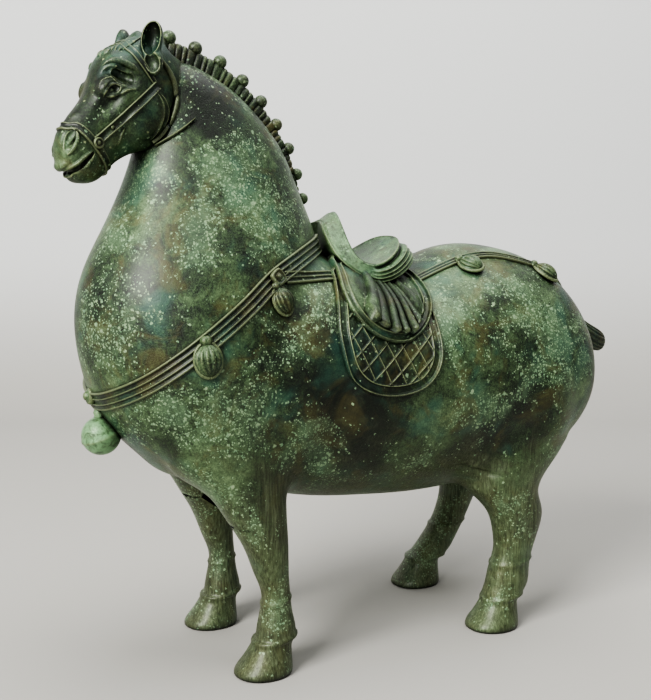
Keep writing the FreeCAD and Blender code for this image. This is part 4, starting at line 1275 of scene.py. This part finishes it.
def cloth(skin, yz, heights, closed):
    """A solid sheet standing on the skin: rows of places in the side view and their heights above it."""
    rows, count = heights.shape
    base = skin.on_side(yz[..., 0], yz[..., 1]).reshape(-1, 3)
    up = skin.normal(base)
    points = base + up * heights.reshape(-1, 1)
    faces = lattice(rows, count, closed)
    if closed:
        rim = [(rows - 1) * count + j for j in range(count)]
        faces.append(tuple(range(count))[::-1])
    else:
        rim = list(range(count)) + [i * count + count - 1 for i in range(1, rows)]
        rim += [(rows - 1) * count + j for j in range(count - 2, -1,
                                                      -1)] + [i * count for i in range(rows - 2, 0, -1)]
    sunk = len(points) + np.arange(len(rim))
    points = np.vstack([points, base[rim] - up[rim] * 1.5])
    for j in range(len(rim)):
        k = (j + 1) % len(rim)
        faces.append((rim[j], rim[k], sunk[k], sunk[j]) if closed else (rim[k], rim[j], sunk[j], sunk[k]))
    faces.append(tuple(int(v) for v in (sunk if closed else sunk[::-1])))
    return points, outward(points, [tuple(int(v) for v in f) for f in faces])


def ringed(outline, centre, rings, count):
    """Places over an outline as rings about a centre, and their distances from its edge."""
    closed = list(outline) + list(outline[:3])
    edge = spline(closed, 0.3)
    turn = np.unwrap(np.arctan2(edge[:, 1] - centre[1], edge[:, 0] - centre[0]))
    turn, edge = (turn, edge) if turn[-1] > turn[0] else (turn[::-1], edge[::-1])
    angles = np.linspace(0, 2 * math.pi, count, endpoint=False)
    reach = np.hypot(edge[:, 0] - centre[0], edge[:, 1] - centre[1])
    angles_in = turn[0] + (angles - turn[0]) % (2 * math.pi)
    reach = np.interp(angles_in, turn, reach)
    shares = 1 - (1 - np.linspace(0.02, 1, rings)) ** 1.25
    y = centre[0] + np.outer(shares, reach * np.cos(angles))
    z = centre[1] + np.outer(shares, reach * np.sin(angles))
    border = np.stack([y[-1], z[-1]], axis=1)
    inside = np.full(y.shape, 1e3)
    for a, b in zip(border, np.roll(border, -1, axis=0)):
        inside = np.minimum(inside, line_distance(y, z, a, b))
    return np.stack([y, z], axis=-1), inside


def quilt_heights(yz, inside):
    y, z = yz[..., 0], yz[..., 1]
    height = 1.5 * step_up(inside, -0.3, 0.3) + 1.3 * bump(inside - 1.2, 0.9)
    height -= 0.5 * step_up(inside, 1.8, 2.6) * (1 - step_up(inside, 6.0, 6.8))
    height += 1.0 * bump(inside - 6.9, 0.6)
    web = lattice_distance(y, z)
    height += step_up(inside, 7.0, 8.0) * (1.0 * bump(web, 0.50) + 0.35 * (1 - bump(web, 3.4)))
    return height


def flap_heights(yz, inside):
    y, z = yz[..., 0], yz[..., 1]
    height = 3.5 * step_up(inside, -0.3, 0.35) + 1.1 * bump(inside - 1.1, 0.8)
    height -= 0.7 * step_up(inside, 1.7, 2.5) * (1 - step_up(inside, 4.6, 5.4))
    height += 0.9 * bump(inside - 5.6, 0.6) + 0.5 * step_up(inside, 6, 12)
    for line in PANEL_LINES:
        height += 0.9 * bump(run_distance(y, z, line), 0.8)
    return height


def drape_part(skin):
    """The pleated skirt: pleats fan out from under the seat to a scalloped hem."""
    angles = np.linspace(*DRAPE_ENDS, 260)
    reach = DRAPE_DROP - np.where(angles < 0, *HEM_RISE) * angles ** 2
    for centre, half, high in PLEATS:
        reach = reach + 2.2 * high * bump((angles - centre) / half, 0.9) - 0.5
    shares = np.linspace(0, 1, 70)[:, None]
    far = 27.0 + (reach - 27.0) * shares
    turn = np.radians(angles)[None, :]
    y, z = FAN_APEX[0] + far * np.sin(turn), FAN_APEX[1] - far * np.cos(turn)
    fold = np.zeros_like(far)
    sway = 0.9 * np.sin(far / 9.0)
    for centre, half, high in PLEATS:
        across = (angles[None, :] + sway - centre) / half
        fold = np.maximum(fold, high * np.sqrt(np.maximum(0, 1 - across ** 2)))
    grow = 0.40 + 0.60 * shares ** 0.8
    height = 3.6 + 0.6 * shares + 4.0 * fold * grow
    height += (0.5 + 0.9 * fold) * step_up(shares, 0.80, 0.97) + 0.5 * bump(reach[None, :] - far - 1.2, 0.8)
    return cloth(skin, np.stack([y, z], axis=-1), height, False)


# The seat's lines run from the middle of the pommel round the near side to the middle of the cantle
SEAT_WAIST = 0.6                    # share of the way round at which it is widest


# ridges round the cantle: place down the flank, half width
SEAT_WELTS = ((0.42, 0.08), (0.62, 0.06), (0.80, 0.06))


def seat_shares(turn):
    """Whether places lie ahead of the waist, and how far from the pommel or the cantle towards it they
    are."""
    ahead = turn < SEAT_WAIST
    return ahead, np.where(ahead, turn / SEAT_WAIST, (1 - turn) / (1 - SEAT_WAIST))


def seat_edge(turn, half, front, rear, waist, pommel, cantle, notch, powers):
    """An edge round the seat: its half width, reach to the front and rear, height at the waist and two rises.

    The notch draws the middle of the pommel back. The powers shape the pommel,
    the cantle and the rear corner.
    """
    ahead, share = seat_shares(turn)
    wide = np.sin(0.5 * math.pi * share)
    fore = np.sqrt(np.maximum(0, 1 - wide ** 8))
    back = np.sqrt(np.maximum(0, 1 - wide ** powers[2]))
    y = np.where(ahead, notch * np.exp(-(wide / 0.33) ** 2) - front * fore, rear * back)
    arch = np.maximum(0, np.cos(0.5 * math.pi * wide)) ** powers[0]
    z = waist + np.where(ahead, pommel * arch, cantle * back ** powers[1])
    return np.stack([half * wide, y, z], axis=1)


def seat_dish(turn):
    """The middle line of the dish, which falls steeply behind the pommel and climbs gently to the cantle."""
    ahead, share = seat_shares(turn)
    end = np.maximum(0, np.cos(0.5 * math.pi * share))
    y = 5.0 + np.where(ahead, -17.0 * end ** 1.4, 24.0 * end ** 1.2)
    z = 256.0 + np.where(ahead, 31.0 * end ** 3.3, 15.5 * end ** 1.8)
    return np.stack([0 * y, y, z], axis=1)


def seat_keel(turn):
    """The middle line of the underside, a deep bowl."""
    ahead, share = seat_shares(turn)
    end = np.maximum(0, np.cos(0.5 * math.pi * share))
    y = 5.0 + np.where(ahead, -29.0 * (1 - share ** 6), 28.5 * (1 - share ** 2))
    z = 237.0 + np.where(ahead, 43.5 * end ** 1.6, 19.0 * end ** 2)
    return np.stack([0 * y, y, z], axis=1)


def seat_piece(materials):
    """A dished seat with a swept-up pommel, a raised cantle and a flank that runs down on to the cloths."""
    rings = 150
    turn = np.linspace(0, 1, rings)
    rim = seat_edge(turn, 37.0, 15.0, 29.5, 254.0, 34.0, 18.0, 2.5, (1.1, 1.6, 2.8))
    edge = seat_edge(turn, 41.0, 30.0, 34.0, 242.0, 39.0, 17.0, 5.5, (0.65, 1.9, 7.0))
    dish, under = seat_dish(turn), seat_keel(turn)
    way = np.gradient(rim + edge, axis=0)
    out = np.cross(way, edge - rim)
    out /= np.maximum(np.linalg.norm(out, axis=1), 1e-6)[:, None]
    out *= np.sign(out[rings // 2, 0])
    near = []
    for share in np.linspace(0, 1, 22):
        point = dish + (rim - dish) * share
        point[:, 2] = dish[:, 2] + (rim[:, 2] - dish[:, 2]) * share ** 2.0
        near.append(point + np.array([0, 0, 1.0]) * (0.7 * bump((share - 0.97) * 30, 1.2)))
    welt = step_up(turn, 0.55, 0.64) * (1 - step_up(turn, 0.88, 0.96))
    for share in np.linspace(0.03, 1, 44):
        height = 1.1 * math.sin(math.pi * min(1.0,
                                              share * 3.2) / 2) - 0.9 * math.sin(math.pi * share) * (1 - welt)
        height = height - 0.9 * bump((share - 0.86) * 15, 0.9) + 0.5 * bump((share - 0.10) * 15, 1.0)
        height = height - welt * 3.4 * bump((share - 0.17) / 0.09, 1.0)
        for place, half in SEAT_WELTS:
            height = height + welt * 1.6 * bump((share - place) / half, 0.8)
        height = height * (1 - 0.8 * step_up(share, 0.95, 1.0))
        near.append(rim + (edge - rim) * share + out * np.reshape(height, (-1, 1)))
    for share in np.linspace(0.15, 1, 8):
        near.append(edge + (under - edge) * share)
    near = np.stack(near, axis=1)
    off = near[:, -2:0:-1] * (-1, 1, 1)
    ring = np.concatenate([near, off], axis=1) + (0, SHIFT, 0)
    new_piece("seat_leather", *tube(ring), ["saddle_seat"], "patina_tack", materials["dish"])


def saddle_pieces(materials, skin):
    seat_piece(materials)
    yz, inside = ringed(QUILT, QUILT_CENTRE, 96, 440)
    both("quilt", cloth(skin, yz, quilt_heights(yz, inside), True), "quilted_cloth", "patina_tack",
         materials["quilt"])
    yz, inside = ringed(FLAP, FLAP_CENTRE, 70, 360)
    both("flap", cloth(skin, yz, flap_heights(yz, inside), True), "saddle_flap", "patina_tack",
         materials["seat"])
    both("drape", drape_part(skin), "saddle_drape", "patina_tack", materials["seat"])


# ---- tail ----------------------------------------------------------------------------------------
TAIL = [(172, 208, 9, 10), (186, 206, 10, 10.5), (200, 201, 10, 9.5), (212, 195, 9.5, 8),
        (222, 191, 8.5, 6.5),
        (227, 190, 6, 4.5), (229.5, 190, 1.5, 1.0)]


def tail_piece(materials):
    """A docked tail of combed strands."""
    rows = spline(TAIL, 0.6)
    angles = 2 * math.pi * np.arange(120) / 120
    rings = []
    for y, z, high, half in rows:
        swell = 0.93 + 0.11 * np.abs(np.cos(8 * angles + 0.03 * (y - 172)))
        rings.append(np.stack([half * swell * np.cos(angles), np.full(120, y + SHIFT),
                               z + high * swell * np.sin(angles)],
                              axis=1))
    new_piece("tail_strands", *tube(np.stack(rings)), ["tail"], "patina_horse", materials["mane"])


# ---- view, light and floor -----------------------------------------------------------------------
CAMERA_AT = (602.8, -330.6, 274.0)      # millimetres about the point midway between the hooves
CAMERA_TURN, CAMERA_DIP = 62.6, 6.6     # degrees round from the horse's front, and down
CAMERA_LENS = 51.84


def set_camera():
    data = bpy.data.cameras.new("view")
    data.lens = CAMERA_LENS
    data.sensor_width = 36.0
    camera = bpy.data.objects.new("view", data)
    bpy.context.scene.collection.objects.link(camera)
    x, y, z = CAMERA_AT
    camera.location = Vector((x, y + SHIFT, z)) * MM
    camera.rotation_euler = (math.radians(90 - CAMERA_DIP), 0, math.radians(CAMERA_TURN))
    bpy.context.scene.camera = camera


def area_light(name, place, aim, size, power, colour):
    data = bpy.data.lights.new(name, "AREA")
    data.shape = "RECTANGLE"
    data.size, data.size_y = size
    data.energy = power
    data.color = colour
    light = bpy.data.objects.new(name, data)
    bpy.context.scene.collection.objects.link(light)
    light.location = place
    light.rotation_euler = (Vector(aim) - Vector(place)).to_track_quat("-Z", "Y").to_euler()


def set_stage():
    """A pale floor that curves up behind the horse, and soft light from the horse's front and above."""
    rows = []
    turn, back, bend = math.radians(CAMERA_TURN), 0.75, 0.30
    away = Vector((-math.sin(turn), math.cos(turn), 0))
    side = Vector((away.y, -away.x, 0))
    profile = [(-3.0, 0.0), (back, 0.0)]
    turns = np.linspace(0, math.pi / 2, 14)[1:]
    profile += [(back + bend * math.sin(a), bend - bend * math.cos(a)) for a in turns]
    profile += [(back + bend, 3.0)]
    for along, high in profile:
        rows.append([away * along + side * reach + Vector((0, 0, high)) for reach in (-4.0, 4.0)])
    points = [p for row in rows for p in row]
    faces = [(2 * i, 2 * i + 1, 2 * i + 3, 2 * i + 2) for i in range(len(rows) - 1)]
    mesh = bpy.data.meshes.new("floor")
    mesh.from_pydata(points, [], faces)
    mesh.polygons.foreach_set("use_smooth", [True] * len(mesh.polygons))
    floor = bpy.data.objects.new("floor", mesh)
    bpy.context.scene.collection.objects.link(floor)
    mesh.materials.append(plain_stage("floor", (0.385, 0.375, 0.355), (0.65, 0.66, 0.66)))
    world = bpy.data.worlds.new("studio")
    world.use_nodes = True
    world.node_tree.nodes["Background"].inputs[0].default_value = (0.98, 0.99, 1.0, 1)
    world.node_tree.nodes["Background"].inputs[1].default_value = 0.36
    bpy.context.scene.world = world
    area_light("window", (0.9, -1.9, 1.5), (0, -0.1, 0.2), (1.1, 1.1), 82, (1.0, 0.99, 0.95))
    area_light("overhead", (0.2, 0.3, 1.9), (0, 0, 0.2), (1.6, 1.6), 26, (1.0, 1.0, 0.98))
    bpy.context.scene.view_settings.view_transform = "AgX"
    bpy.context.scene.view_settings.look = "AgX - High Contrast"


def main():
    materials = {
        "horse": patina("patina_horse", rub=0.0, reach=14, body=True),
        "head": patina("patina_head", tone=-0.01, speck=0.22, olive=0.4, rub=1.0, reach=6),
        "tack": patina("patina_tack", tone=-0.11, speck=0.30, olive=0.5, rub=0.55),
        "dish": patina("patina_dish", tone=0.02, speck=0.4, olive=0.3, rub=0.6, pale=0.35, reach=6),
        "quilt": patina("patina_quilt", tone=-0.07, speck=0.35, olive=0.7, rub=0.95),
        "trim": patina("patina_trim", tone=0.0, speck=0.4, rub=0.9),
        "mane": patina("patina_mane", tone=-0.02, speck=0.1, olive=1.0, rub=1.0, recess_shade=1.3),
        "seat": patina("patina_seat", tone=-0.02, speck=0.35, olive=0.6, rub=0.7, reach=6),
        "bell": patina("patina_bell", tone=0.06, speck=0.3, olive=0.3, rub=0.8, pale=0.95),
        "bronze": patina("bare_bronze", speck=0.0, olive=1.0, teal=0.0),
    }
    set_camera()
    set_stage()
    grid, field = horse_castings(materials)
    skin = Skin(grid, field)
    head_grid, head, neck = head_field()
    head_piece(materials, head_grid, head)
    bridle_pieces(materials, head_grid, head, neck)
    ear_pieces(materials)
    forelock_piece(materials, head_grid, head)
    mane_piece(materials)
    bead_pieces(materials)
    strap_pieces(materials, skin)
    saddle_pieces(materials, skin)
    tail_piece(materials)
    slots = {"patina_horse": "horse", "patina_tack": "tack", "patina_trim": "trim", "bare_bronze": "bronze"}
    for row in frame["record"]["subparts"]:
        mesh = NODES[row["node"]].data
        mesh.materials.clear()
        mesh.materials.append(materials[slots[row["material_slot"]]])


main()
